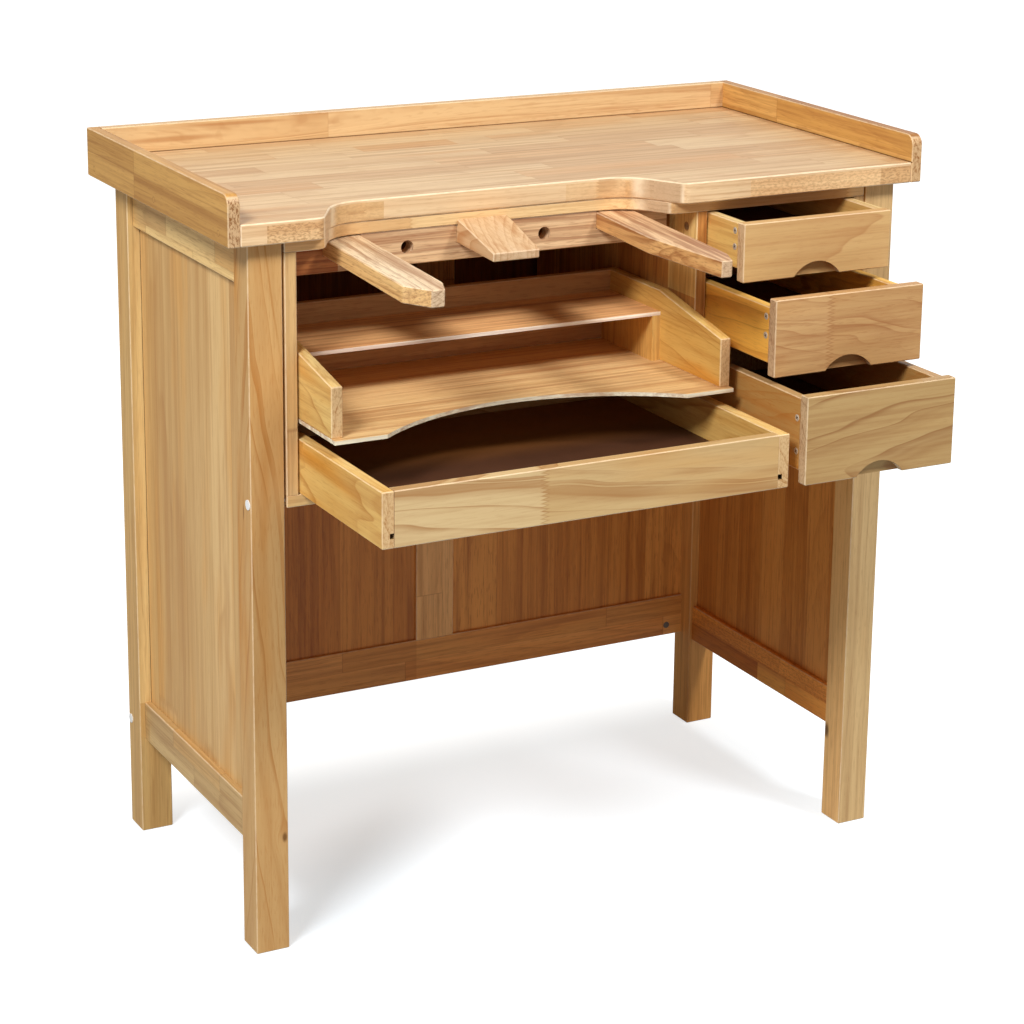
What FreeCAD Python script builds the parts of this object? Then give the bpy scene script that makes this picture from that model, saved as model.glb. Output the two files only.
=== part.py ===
import FreeCAD, Part
import os
import re
import Sketcher

# Jeweler's bench. X runs to the right, -Y towards the person at the bench, Z up.
# The origin is on the floor, in the middle of the bench as it stands with its drawers drawn out.

SIZES = {
    # worktop and gallery
    "bench_width": 1000,
    "bench_depth": 500,
    "leg_height": 931,
    "top_thickness": 27.5,
    "gallery_board": 16,
    "gallery_rise": 37,
    "gallery_round": 14,
    "cut_width": 506,
    "cut_flat": 418,
    "cut_depth": 76,
    "cut_round": 60,
    "cut_shoulder": 15,
    # legs and frames
    "leg_across": 45,
    "leg_deep": 44,
    "overhang_side": 31,
    "overhang_front": 18,
    "overhang_back": 18,
    "side_rail_thick": 32,
    "side_rail_recess": 8,
    "side_top_rail": 61.5,
    "side_low_rail": 55,
    "side_low_gap": 137,
    "side_panel": 14,
    "side_panel_recess": 17.5,
    "back_board": 18,
    "back_top_rail": 62,
    "back_low_rail": 62,
    "back_low_gap": 142,
    "back_panel": 8,
    "muntin_width": 60,
    "groove_deep": 8,
    "groove_play": 0.3,
    # hung cabinet
    "cabinet_gap": 3,
    "cabinet_back_gap": 6,
    "cabinet_height": 338,
    "cabinet_board": 16,
    "ceiling_board": 16,
    "floor_board": 15.5,
    "ceiling_set_back": 2,
    "bay_width": 564.5,
    # pin rail, bench pin and armrests
    "pin_rail_gap": 10.5,
    "pin_rail_height": 45,
    "pin_rail_thick": 22,
    "pin_off_centre": 2,
    "steady_hole": 17.5,
    "left_hole_offset": 104,
    "right_hole_offset": 91,
    "mortise_play": 0.3,
    "bar_thick": 21.5,
    "bar_tail": 10,
    "bar_lean": 2.5,
    "pin_width": 70,
    "pin_reach": 102,
    "pin_root": 31,
    "pin_nose": 11,
    "pin_taper": 6,
    "arm_offset": 193.5,
    "arm_width": 51.5,
    "left_arm_reach": 259,
    "right_arm_reach": 269,
    "nose_wide_cut": 24,
    "nose_wide_run": 32,
    "nose_small_cut": 11,
    "nose_small_run": 29,
    "taper_cut": 26,
    "taper_run": 135,
    # upper tray
    "tray_open": 105,
    "tray_depth": 311,
    "tray_height": 91,
    "tray_floor": 5,
    "tray_runner_height": 10,
    "tray_runner_width": 9,
    "tray_runner_back": 24,
    "tray_side_play": 2.5,
    "tray_wall": 15,
    "tray_wall_set": 10,
    "tray_wall_front": 64,
    "tray_wall_back": 95,
    "tray_slope_run": 158,
    "tray_back": 12,
    "tray_cut_width": 421,
    "tray_cut_depth": 76,
    "shelf_board": 5,
    "shelf_depth": 136,
    "shelf_above": 61.7,
    "shelf_support": 12,
    # catch tray
    "catch_open": 239,
    "catch_back_gap": 20,
    "catch_height": 70,
    "catch_side_play": 2,
    "catch_side": 16,
    "catch_front": 16,
    "catch_back": 14,
    "catch_bottom": 6,
    "catch_bottom_up": 12,
    # drawers
    "drawer_side_play": 1.5,
    "drawer_back_gap": 24,
    "drawer_front": 16,
    "drawer_side": 13.5,
    "drawer_back": 12,
    "drawer_bottom": 6,
    "drawer_bottom_up": 8,
    "drawer_groove": 6,
    "front_gap": 5.5,
    "front_floor_gap": 1.5,
    "runner_height": 16,
    "runner_width": 12,
    "finger_width": 72,
    "finger_height": 19,
    "finger_deep": 11,
    "drawer_1_front": 77,
    "drawer_1_side": 60,
    "drawer_1_open": 88,
    "drawer_2_front": 101,
    "drawer_2_side": 73,
    "drawer_2_open": 168,
    "drawer_3_front": 115,
    "drawer_3_side": 94,
    "drawer_3_open": 247,
    # fits and finish
    "slide_gap": 0.3,
    "eased_edge": 1.2,
    "worktop_edge": 1.6,
    # knock-down fasteners
    "bolt": 6,
    "bolt_hole": 6.6,
    "bolt_head": 10,
    "bolt_head_thick": 4,
    "bolt_grip": 36,
    "bolt_inset": 8,
    "bolt_lift": 1,
    "counterbore": 10.6,
    "counterbore_deep": 6,
    "nut_inset": 26,
    "nut": 10,
    "nut_length": 12,
    "cap_plug": 2,
    "cap_rim": 13,
    "cap_proud": 1.2,
}

PLACES = {
    "edge_left": "-bench_width / 2",
    "edge_right": "bench_width / 2",
    "edge_front": "(drawer_3_open - overhang_front - bench_depth) / 2",
    "edge_back": "edge_front + bench_depth",
    "board_left": "edge_left + gallery_board",
    "board_width": "bench_width - 2 * gallery_board",
    "board_depth": "bench_depth - gallery_board",
    "gallery_height": "top_thickness + gallery_rise",
    # legs
    "leg_left": "edge_left + overhang_side",
    "leg_right": "edge_right - overhang_side - leg_across",
    "leg_front": "edge_front + overhang_front",
    "leg_back": "edge_back - overhang_back - leg_deep",
    # side frames
    "side_start": "leg_front + leg_deep",
    "side_span": "leg_back - side_start",
    "side_low_top": "side_low_gap + side_low_rail",
    "side_top_low": "leg_height - side_top_rail",
    "side_groove_wide": "side_panel + 2 * groove_play",
    "side_panel_z": "side_low_top - groove_deep + groove_play",
    "side_panel_height": "side_top_low - side_low_top + 2 * groove_deep - 2 * groove_play",
    # back frame
    "back_start": "leg_left + leg_across",
    "back_span": "leg_right - back_start",
    "back_face": "leg_back + leg_deep - back_board",
    "back_low_top": "back_low_gap + back_low_rail",
    "back_top_low": "leg_height - back_top_rail",
    "back_groove_wide": "back_panel + 2 * groove_play",
    "back_groove_y": "(back_board - back_groove_wide) / 2",
    "back_panel_y": "back_face + (back_board - back_panel) / 2",
    "back_panel_z": "back_low_top - groove_deep + groove_play",
    "back_panel_height": "back_top_low - back_low_top + 2 * groove_deep - 2 * groove_play",
    "muntin_left": "-muntin_width / 2",
    "back_panel_width": "(back_span - muntin_width) / 2 + 2 * groove_deep - 2 * groove_play",
    # cabinet
    "cabinet_left": "back_start + cabinet_gap",
    "cabinet_depth": "back_face - cabinet_back_gap - leg_front",
    "cabinet_width": "back_span - 2 * cabinet_gap",
    "cabinet_low": "leg_height - cabinet_height",
    "cabinet_floor": "cabinet_low + floor_board",
    "cabinet_ceiling": "leg_height - ceiling_board",
    "upright_height": "cabinet_ceiling - cabinet_floor",
    "bay_left": "cabinet_left + cabinet_board",
    "bay_right": "bay_left + bay_width",
    "bay_middle": "bay_left + bay_width / 2",
    "stack_left": "bay_right + cabinet_board",
    "stack_right": "cabinet_left + cabinet_width - cabinet_board",
    "stack_width": "stack_right - stack_left",
    # pin rail
    "rail_face": "edge_front + cut_depth + ceiling_set_back",
    "rail_left": "bay_left + pin_rail_gap",
    "rail_width": "bay_width - 2 * pin_rail_gap",
    "rail_low": "cabinet_ceiling - pin_rail_height",
    "pin_middle": "rail_width / 2 - pin_off_centre",
    "bar_rise": "(pin_rail_thick + bar_tail) * sin(bar_lean)",
    "mortise_deep": "bar_thick * cos(bar_lean) + bar_rise + 2 * mortise_play",
    "mortise_z": "pin_rail_height - mortise_deep",
    "bar_low": "cabinet_ceiling - mortise_deep + mortise_play",
    # upper tray
    "tray_front": "leg_front - tray_open",
    "tray_low": "cabinet_floor + tray_height",
    "tray_top": "tray_low + tray_floor",
    "tray_wall_left": "bay_left + tray_side_play",
    "tray_wall_right": "bay_right - tray_side_play - tray_wall",
    "tray_wall_y": "tray_front + tray_wall_set",
    "tray_wall_length": "tray_depth - tray_wall_set",
    "tray_width": "bay_width - 2 * tray_side_play",
    "tray_inner_left": "tray_wall_left + tray_wall",
    "tray_inner_width": "tray_wall_right - tray_inner_left",
    "tray_back_y": "tray_front + tray_depth - tray_back",
    "shelf_y": "tray_back_y - shelf_depth",
    # catch tray
    "catch_depth": "cabinet_depth - catch_back_gap",
    "catch_y": "leg_front - catch_open",
    "catch_low": "cabinet_floor + slide_gap",
    "catch_left": "bay_left + catch_side_play",
    "catch_width": "bay_width - 2 * catch_side_play",
    "catch_inner_left": "catch_left + catch_side",
    "catch_inner_width": "catch_width - 2 * catch_side",
    # drawers
    "drawer_depth": "cabinet_depth - drawer_front - drawer_back_gap",
    "box_left": "stack_left + drawer_side_play",
    "box_width": "stack_width - 2 * drawer_side_play",
    "front_3_low": "cabinet_floor + front_floor_gap",
    "front_2_low": "front_3_low + drawer_3_front + front_gap",
    "front_1_low": "front_2_low + drawer_2_front + front_gap",
    "runner_start": "leg_front + drawer_front + slide_gap",
    "runner_length": "cabinet_depth - drawer_front - slide_gap",
    # fasteners
    "front_bolt_z": "cabinet_low + floor_board / 2 + bolt_lift",
    "back_bolt_z": "back_low_gap + 16",
    "front_bolt_y": "leg_front + bolt_inset",
    "back_bolt_y": "back_face + back_board / 2",
    "nut_left": "back_start + nut_inset",
    "nut_right": "leg_right - nut_inset",
}

document = FreeCAD.newDocument("jewelers_bench")
nodes = []


def words(text):
    """Writes the sheet's name in front of each named size or place of an expression."""
    def name(match):
        sheet = "Sizes" if match.group(0) in SIZES else "Places"
        return sheet + "." + match.group(0)
    return re.sub(r"[a-z][a-z0-9_]*(?!\()\b", name, text)


def fill_sheet(sheet_name, rows, write):
    sheet = document.addObject("Spreadsheet::Sheet", sheet_name)
    for number, (alias, value) in enumerate(rows.items(), start=1):
        sheet.set(f"A{number}", alias)
        sheet.set(f"B{number}", write(value))
        sheet.setAlias(f"B{number}", alias)


fill_sheet("Sizes", SIZES, str)
fill_sheet("Places", PLACES, lambda formula: "=" + words(formula))
document.recompute()


def bind(thing, field, text):
    thing.setExpression(field, words(text))


def put(thing, at):
    """Ties an object's position to three expressions."""
    for axis, text in zip("xyz", at):
        bind(thing, "Placement.Base." + axis, text)


def value(text):
    """The present value of an expression, for a first guess or a search."""
    return float(document.Sizes.evalExpression(words(text)))


def new_body(label, at):
    body = document.addObject("PartDesign::Body", label)
    body.Label = label
    put(body, at)
    nodes.append(body)
    return body


def new_sketch(body, plane, name, lift="0"):
    """A sketch on one of the body's own planes, lifted along the plane's normal."""
    support = [face for face in body.Origin.OriginFeatures if face.Role == plane][0]
    sketch = body.newObject("Sketcher::SketchObject", body.Label + "_" + name)
    sketch.AttachmentSupport = [(support, "")]
    sketch.MapMode = "FlatFace"
    if lift != "0":
        bind(sketch, "AttachmentOffset.Base.z", lift)
    return sketch


def pin_point(sketch, shape, point, across, up):
    """Holds one point of a sketch at two expressions, measured from the sketch's origin."""
    for kind, text in (("DistanceX", across), ("DistanceY", up)):
        number = sketch.addConstraint(Sketcher.Constraint(kind, -1, 1, shape, point, value(text)))
        bind(sketch, f"Constraints[{number}]", text)


def draw_outline(sketch, corners):
    """A closed outline of straight lines, each corner held at its own two expressions."""
    spots = [FreeCAD.Vector(value(across), value(up), 0) for across, up in corners]
    count = len(corners)
    for number in range(count):
        sketch.addGeometry(Part.LineSegment(spots[number], spots[(number + 1) % count]), False)
    for number in range(count):
        sketch.addConstraint(Sketcher.Constraint("Coincident", number, 2, (number + 1) % count, 1))
    for number, (across, up) in enumerate(corners):
        pin_point(sketch, number, 1, across, up)


def draw_rectangle(sketch, left, low, wide, high):
    right = f"{left} + {wide}"
    top = f"{low} + {high}"
    draw_outline(sketch, [(left, low), (right, low), (right, top), (left, top)])


def draw_circle(sketch, across, up, radius):
    centre = FreeCAD.Vector(value(across), value(up), 0)
    sketch.addGeometry(Part.Circle(centre, FreeCAD.Vector(0, 0, 1), value(radius)), False)
    pin_point(sketch, 0, 3, across, up)
    number = sketch.addConstraint(Sketcher.Constraint("Radius", 0, value(radius)))
    bind(sketch, f"Constraints[{number}]", radius)


def pad(body, sketch, length):
    """Pads a sketch along +X, +Y or +Z, whichever its plane faces."""
    feature = body.newObject("PartDesign::Pad", body.Label + "_pad")
    feature.Profile = sketch
    bind(feature, "Length", length)
    feature.Reversed = sketch.AttachmentSupport[0][0].Role == "XZ_Plane"
    return feature


def cut(body, sketch, name, length=None):
    """Cuts a sketch into the body along +X, +Y or +Z, or right through when no length is given."""
    document.recompute()
    before = body.Shape.Volume
    feature = body.newObject("PartDesign::Pocket", body.Label + "_" + name)
    feature.Profile = sketch
    if length is None:
        feature.Type = "ThroughAll"
        feature.Midplane = True
    else:
        bind(feature, "Length", length)
        feature.Reversed = sketch.AttachmentSupport[0][0].Role != "XZ_Plane"
    document.recompute()
    if not body.Shape.Volume < before:
        raise RuntimeError(body.Label + ": " + name + " cuts nothing")
    return feature


def slot(body, name, at, size):
    """A box-shaped groove, notch or mortise, by its low corner and its three lengths."""
    sketch = new_sketch(body, "XY_Plane", name + "_sketch", at[2])
    draw_rectangle(sketch, at[0], at[1], size[0], size[1])
    cut(body, sketch, name, size[2])


def bore(body, name, plane, across, up, diameter, length=None, lift="0"):
    sketch = new_sketch(body, plane, name + "_sketch", lift)
    draw_circle(sketch, across, up, f"{diameter} / 2")
    cut(body, sketch, name, length)


def edges_where(shape, test):
    """Names of the straight edges that pass a test on their direction and middle point."""
    found = []
    for number, edge in enumerate(shape.Edges, start=1):
        if edge.Curve.TypeId != "Part::GeomLine":
            continue
        direction = edge.Vertexes[-1].Point - edge.Vertexes[0].Point
        direction.normalize()
        if test(direction, edge.CenterOfMass):
            found.append(f"Edge{number}")
    return found


def along(axis):
    """A test that passes edges that run along one axis."""
    return lambda direction, middle: abs(getattr(direction, axis)) > 0.999


def ease(body, size="eased_edge", test=None):
    """Takes the sharpness off all of a body's edges, or off those that pass a test."""
    document.recompute()
    base = body.Tip
    feature = body.newObject("PartDesign::Chamfer", body.Label + "_eased")
    feature.Base = (base, edges_where(base.Shape, test) if test else [])
    feature.UseAllEdges = test is None
    bind(feature, "Size", size)
    return feature


def round_edges(body, name, radius, test):
    document.recompute()
    base = body.Tip
    feature = body.newObject("PartDesign::Fillet", body.Label + "_" + name)
    feature.Base = (base, edges_where(base.Shape, test))
    bind(feature, "Radius", radius)
    document.recompute()


def board(label, at, size, test=None, eased="eased_edge"):
    """A planed board by its low corner and its three lengths, with its edges eased."""
    body = new_body(label, at)
    sketch = new_sketch(body, "XY_Plane", "plan")
    draw_rectangle(sketch, "0", "0", size[0], size[1])
    pad(body, sketch, size[2])
    if eased:
        ease(body, eased, test)
    return body


def side_shape(label, at, corners, thick):
    """A board sawn to an outline seen from the side, thick along X."""
    body = new_body(label, at)
    sketch = new_sketch(body, "YZ_Plane", "side")
    draw_outline(sketch, corners)
    pad(body, sketch, thick)
    return body


def group(label, members):
    """Several like solids that share one node."""
    whole = document.addObject("Part::Compound", label)
    whole.Label = label
    whole.Links = members
    nodes.append(whole)


def box(name, at, size):
    solid = document.addObject("Part::Box", name)
    for field, text in zip(("Length", "Width", "Height"), size):
        bind(solid, field, text)
    put(solid, at)
    return solid


def rod(name, axis, at, diameter, length):
    """A round bar that starts at a point and runs along an axis."""
    solid = document.addObject("Part::Cylinder", name)
    turn = FreeCAD.Rotation(FreeCAD.Vector(0, 0, 1), FreeCAD.Vector(*axis))
    solid.Placement = FreeCAD.Placement(FreeCAD.Vector(), turn)
    bind(solid, "Radius", f"({diameter}) / 2")
    bind(solid, "Height", length)
    put(solid, at)
    return solid


# Worktop: an edge-glued board with a curved bite in its front edge, where the jeweler sits.

def cut_curve(body, left, front, grow):
    """The bite: a flat-bottomed opening with splayed, well rounded ends and soft shoulders."""
    middle = f"bay_middle - ({left})"
    start = f"edge_front - ({front})"
    splay = "(cut_width - cut_flat) / 2 / cut_depth"
    sketch = new_sketch(body, "XY_Plane", "bite_sketch")
    near = f"(cut_width / 2 + {grow} + {splay} * ({start}))"
    far = f"(cut_flat / 2 + {grow})"
    depth = f"{start} + cut_depth + {grow}"
    corners = [
        (f"{middle} - {near}", "0"),
        (f"{middle} + {near}", "0"),
        (f"{middle} + {far}", depth),
        (f"{middle} - {far}", depth),
    ]
    draw_outline(sketch, corners)
    cut(body, sketch, "bite")
    deep = value(depth)
    low = value(f"{middle} - {near}")
    high = value(f"{middle} + {near}")
    upright = along("z")

    def inner(direction, spot):
        return upright(direction, spot) and abs(spot.y - deep) < 0.01

    def shoulder(direction, spot):
        near_side = min(abs(spot.x - low), abs(spot.x - high)) < 0.01
        return upright(direction, spot) and near_side and abs(spot.y) < 0.01

    round_edges(body, "bite_round", "cut_round", inner)
    round_edges(body, "shoulder_round", "cut_shoulder", shoulder)


def make_worktop():
    worktop = board("worktop", ("board_left", "edge_front", "leg_height"),
                    ("board_width", "board_depth", "top_thickness"), eased=None)
    cut_curve(worktop, "board_left", "edge_front", "0")
    ease(worktop, "worktop_edge")


def make_gallery():
    corners = [("0", "0"), ("bench_depth", "0"), ("bench_depth", "gallery_height"), ("0", "gallery_height")]
    for label, left in (("left_gallery_rail", "edge_left"),
                        ("right_gallery_rail", "edge_right - gallery_board")):
        rail = side_shape(label, (left, "edge_front", "leg_height"), corners, "gallery_board")
        top = value("gallery_height")

        def front_corner(direction, spot):
            return along("x")(direction, spot) and abs(spot.y) < 0.01 and abs(spot.z - top) < 0.01

        round_edges(rail, "corner_round", "gallery_round", front_corner)
        ease(rail)
    board("back_gallery_rail", ("board_left", "edge_back - gallery_board", "leg_height"),
          ("board_width", "gallery_board", "gallery_height"), along("x"))


# Legs: square posts, grooved for the panels and bored for the knock-down bolts.

def make_leg(label, on_left, at_front):
    across = "leg_left" if on_left else "leg_right"
    along_y = "leg_front" if at_front else "leg_back"
    leg = board(label, (across, along_y, "0"), ("leg_across", "leg_deep", "leg_height"))
    panel_x = "side_panel_recess - groove_play"
    if not on_left:
        panel_x = "leg_across - side_panel_recess - side_panel - groove_play"
    slot(leg, "panel_groove",
         (panel_x, "leg_deep - groove_deep" if at_front else "0", "side_low_top - groove_deep"),
         ("side_groove_wide", "groove_deep", "side_top_low - side_low_top + 2 * groove_deep"))
    if not at_front:
        slot(leg, "back_groove",
             ("leg_across - groove_deep" if on_left else "0", "leg_deep - back_board + back_groove_y",
              "back_low_top - groove_deep"),
             ("groove_deep", "back_groove_wide", "back_top_low - back_low_top + 2 * groove_deep"))
    bolt_y = "front_bolt_y - leg_front" if at_front else "back_bolt_y - leg_back"
    bolt_z = "front_bolt_z" if at_front else "back_bolt_z"
    bore(leg, "bolt_hole", "YZ_Plane", bolt_y, bolt_z, "bolt_hole")
    seat = "0" if on_left else "leg_across - counterbore_deep"
    bore(leg, "counterbore", "YZ_Plane", bolt_y, bolt_z, "counterbore", "counterbore_deep", seat)


# Side frames: a rail at the top and one low down, with a plain glued-up panel between them.

def make_side_frame(side, on_left):
    rail_x = "leg_left + side_rail_recess"
    groove_x = "side_panel_recess - side_rail_recess - groove_play"
    panel_x = "leg_left + side_panel_recess"
    if not on_left:
        rail_x = "leg_right + leg_across - side_rail_recess - side_rail_thick"
        groove_x = "side_rail_thick + side_rail_recess - side_panel_recess - side_panel - groove_play"
        panel_x = "leg_right + leg_across - side_panel_recess - side_panel"
    top_rail = board(side + "_top_rail", (rail_x, "side_start", "side_top_low"),
                     ("side_rail_thick", "side_span", "side_top_rail"), along("y"))
    slot(top_rail, "groove", (groove_x, "0", "0"), ("side_groove_wide", "side_span", "groove_deep"))
    low_rail = board(side + "_bottom_rail", (rail_x, "side_start", "side_low_gap"),
                     ("side_rail_thick", "side_span", "side_low_rail"), along("y"))
    slot(low_rail, "groove", (groove_x, "0", "side_low_rail - groove_deep"),
         ("side_groove_wide", "side_span", "groove_deep"))
    board(side + "_panel", (panel_x, "side_start - groove_deep + groove_play", "side_panel_z"),
          ("side_panel", "side_span + 2 * groove_deep - 2 * groove_play", "side_panel_height"), eased=None)


# Back frame: two rails and a centre muntin round two thin panels.

def make_back_frame():
    top_rail = board("back_top_rail", ("back_start", "back_face", "back_top_low"),
                     ("back_span", "back_board", "back_top_rail"), along("x"))
    slot(top_rail, "groove", ("0", "back_groove_y", "0"), ("back_span", "back_groove_wide", "groove_deep"))
    low_rail = board("back_bottom_rail", ("back_start", "back_face", "back_low_gap"),
                     ("back_span", "back_board", "back_low_rail"), along("x"))
    slot(low_rail, "groove", ("0", "back_groove_y", "back_low_rail - groove_deep"),
         ("back_span", "back_groove_wide", "groove_deep"))
    nut_z = "back_bolt_z - back_low_gap"
    for name, left, nut_x in (("left", "0", "nut_inset"),
                              ("right", "back_span - bolt_grip", "back_span - nut_inset")):
        bore(low_rail, name + "_bolt_hole", "YZ_Plane", "back_board / 2", nut_z,
             "bolt_hole", "bolt_grip", left)
        bore(low_rail, name + "_nut_hole", "XZ_Plane", nut_x, nut_z,
             "(nut + groove_play)", "nut_length + groove_play")
    muntin = board("back_muntin", ("muntin_left", "back_face", "back_low_top"),
                   ("muntin_width", "back_board", "back_top_low - back_low_top"), along("z"))
    for name, left in (("left_groove", "0"), ("right_groove", "muntin_width - groove_deep")):
        slot(muntin, name, (left, "back_groove_y", "0"),
             ("groove_deep", "back_groove_wide", "back_top_low - back_low_top"))
    starts = ("back_start - groove_deep + groove_play", "muntin_width / 2 - groove_deep + groove_play")
    for label, left in zip(("back_left_panel", "back_right_panel"), starts):
        board(label, (left, "back_panel_y", "back_panel_z"),
              ("back_panel_width", "back_panel", "back_panel_height"), eased=None)


# Hung cabinet: a carcass of plain boards under the worktop, its top board cut to the same curve.

def make_cabinet():
    ceiling = board("cabinet_top", ("cabinet_left", "leg_front", "cabinet_ceiling"),
                    ("cabinet_width", "cabinet_depth", "ceiling_board"), eased=None)
    cut_curve(ceiling, "cabinet_left", "leg_front", "ceiling_set_back")
    ease(ceiling)
    floor = board("cabinet_floor_board", ("cabinet_left", "leg_front", "cabinet_low"),
                  ("cabinet_width", "cabinet_depth", "floor_board"))
    for name, left, nut_x in (("left", "0", "nut_left - cabinet_left"),
                              ("right", "cabinet_width - bolt_grip", "nut_right - cabinet_left")):
        bore(floor, name + "_bolt_hole", "YZ_Plane", "bolt_inset", "floor_board / 2 + bolt_lift",
             "bolt_hole", "bolt_grip", left)
        bore(floor, name + "_nut_hole", "XY_Plane", nut_x, "bolt_inset",
             "(nut + groove_play)", "nut_length + groove_play")
    uprights = (
        ("cabinet_left_side", "cabinet_left"),
        ("cabinet_divider", "bay_right"),
        ("cabinet_right_side", "stack_right"),
    )
    for label, left in uprights:
        board(label, (left, "leg_front", "cabinet_floor"),
              ("cabinet_board", "cabinet_depth", "upright_height"), along("z"))


def make_runners():
    """A pair of wooden runners under each drawer and under the upper tray, fixed to the uprights."""
    members = []
    for number in (1, 2, 3):
        low = f"front_{number}_low"
        for side, left in (("left", "stack_left"), ("right", "stack_right - runner_width")):
            members.append(box(f"runner_{number}_{side}", (left, "runner_start", low),
                               ("runner_width", "runner_length", "runner_height")))
    group("drawer_runners", members)
    members = []
    low = "tray_low - slide_gap - tray_runner_height"
    for side, left in (("left", "bay_left"), ("right", "bay_right - tray_runner_width")):
        members.append(box("tray_runner_" + side, (left, "leg_front + tray_runner_back", low),
                           ("tray_runner_width", "cabinet_depth - tray_runner_back", "tray_runner_height")))
    group("tray_runners", members)


# Pin rail: a stout rail under the cabinet's top board, with three mortises open at the top
# and two through holes for steady pins.

def make_pin_rail():
    rail = board("pin_rail", ("rail_left", "rail_face", "rail_low"),
                 ("rail_width", "pin_rail_thick", "pin_rail_height"), along("x"))
    for name, offset, width in (("pin_mortise", "0", "pin_width"),
                                ("left_arm_mortise", "-arm_offset", "arm_width"),
                                ("right_arm_mortise", "arm_offset", "arm_width")):
        wide = f"({width} + 2 * mortise_play)"
        slot(rail, name, (f"pin_middle + {offset} - {wide} / 2", "0", "mortise_z"),
             (wide, "pin_rail_thick", "mortise_deep"))
    for name, across in (("left_steady_hole", "pin_middle - left_hole_offset"),
                         ("right_steady_hole", "pin_middle + right_hole_offset")):
        bore(rail, name, "XZ_Plane", across, "pin_rail_height / 2", "steady_hole")


def lean_bar(body, left, reach):
    """Lays a bar through its mortise, where its own weight makes it lean down a little."""
    lean = FreeCAD.Rotation(FreeCAD.Vector(1, 0, 0), value("bar_lean"))
    body.Placement = FreeCAD.Placement(FreeCAD.Vector(), lean)
    bind(body, "Placement.Rotation.Angle", "bar_lean")
    put(body, (left, f"rail_face - {reach} * cos(bar_lean)", f"bar_low - {reach} * sin(bar_lean)"))


def make_bench_pin():
    """A wedge that juts from the rail, on a tang that fits the middle mortise."""
    left = "rail_left + pin_middle - pin_width / 2"
    tail = "pin_reach + pin_rail_thick + bar_tail"
    shoulder = "pin_reach - slide_gap"
    corners = [("0", "0"), (tail, "0"), (tail, "bar_thick"), (shoulder, "bar_thick"),
               (shoulder, "pin_root"), ("0", "pin_nose")]
    pin = side_shape("bench_pin", (left, "0", "0"), corners, "pin_width")
    ease(pin)
    sketch = new_sketch(pin, "XY_Plane", "taper_sketch")
    draw_outline(sketch, [("pin_width - pin_taper", "0"), ("pin_width", "0"), ("pin_width", shoulder)])
    cut(pin, sketch, "taper")
    lean_bar(pin, left, "pin_reach")


def make_armrest(side, offset, far_cut, far_run):
    """A flat bar that slides through its mortise, its nose trimmed where the arm lies."""
    left = f"rail_left + pin_middle + {offset} - arm_width / 2"
    reach = side + "_arm_reach"
    tail = f"{reach} + pin_rail_thick + bar_tail"
    arm = new_body(side + "_armrest", (left, "0", "0"))
    sketch = new_sketch(arm, "XY_Plane", "plan")
    draw_outline(sketch, [
        (far_cut, "0"), ("arm_width - nose_small_cut", "0"), ("arm_width", "nose_small_run"),
        ("arm_width", tail), ("0", tail), ("0", far_run)])
    pad(arm, sketch, "bar_thick")
    ease(arm)
    lean_bar(arm, left, reach)


def make_armrests():
    make_armrest("left", "(-arm_offset)", "nose_wide_cut", "nose_wide_run")
    make_armrest("right", "arm_offset", "taper_cut", "taper_run")


# Upper tray: a thin floor that slides on two runners, two shaped walls, a back and a shelf.

def make_upper_tray():
    floor = board("tray_floor", ("tray_wall_left", "tray_front", "tray_low"),
                  ("tray_width", "tray_depth", "tray_floor"), eased=None)
    radius = "(pow(tray_cut_width / 2; 2) / (2 * tray_cut_depth) + tray_cut_depth / 2)"
    sketch = new_sketch(floor, "XY_Plane", "scoop_sketch")
    draw_circle(sketch, "tray_width / 2", f"tray_cut_depth - {radius}", radius)
    cut(floor, sketch, "scoop")
    corners = [("0", "0"), ("tray_wall_length", "0"), ("tray_wall_length", "tray_wall_back"),
               ("tray_slope_run", "tray_wall_back"), ("0", "tray_wall_front")]
    for label, left in (("tray_left_wall", "tray_wall_left"), ("tray_right_wall", "tray_wall_right")):
        side_shape(label, (left, "tray_wall_y", "tray_top"), corners, "tray_wall")
        ease(document.getObject(label))
    board("tray_back_wall", ("tray_inner_left", "tray_back_y", "tray_top"),
          ("tray_inner_width", "tray_back", "tray_wall_back"), along("x"))
    board("tray_shelf", ("tray_inner_left", "shelf_y", "tray_top + shelf_above"),
          ("tray_inner_width", "shelf_depth", "shelf_board"), eased=None)
    supports = []
    for side, left in (("left", "tray_inner_left"), ("right", "tray_wall_right - shelf_support")):
        supports.append(box("shelf_support_" + side, (left, "shelf_y", "tray_top"),
                            ("shelf_support", "shelf_depth", "shelf_above")))
    group("tray_shelf_supports", supports)


# Catch tray: a wide shallow box that rides on the cabinet's floor and catches filings.

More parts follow.
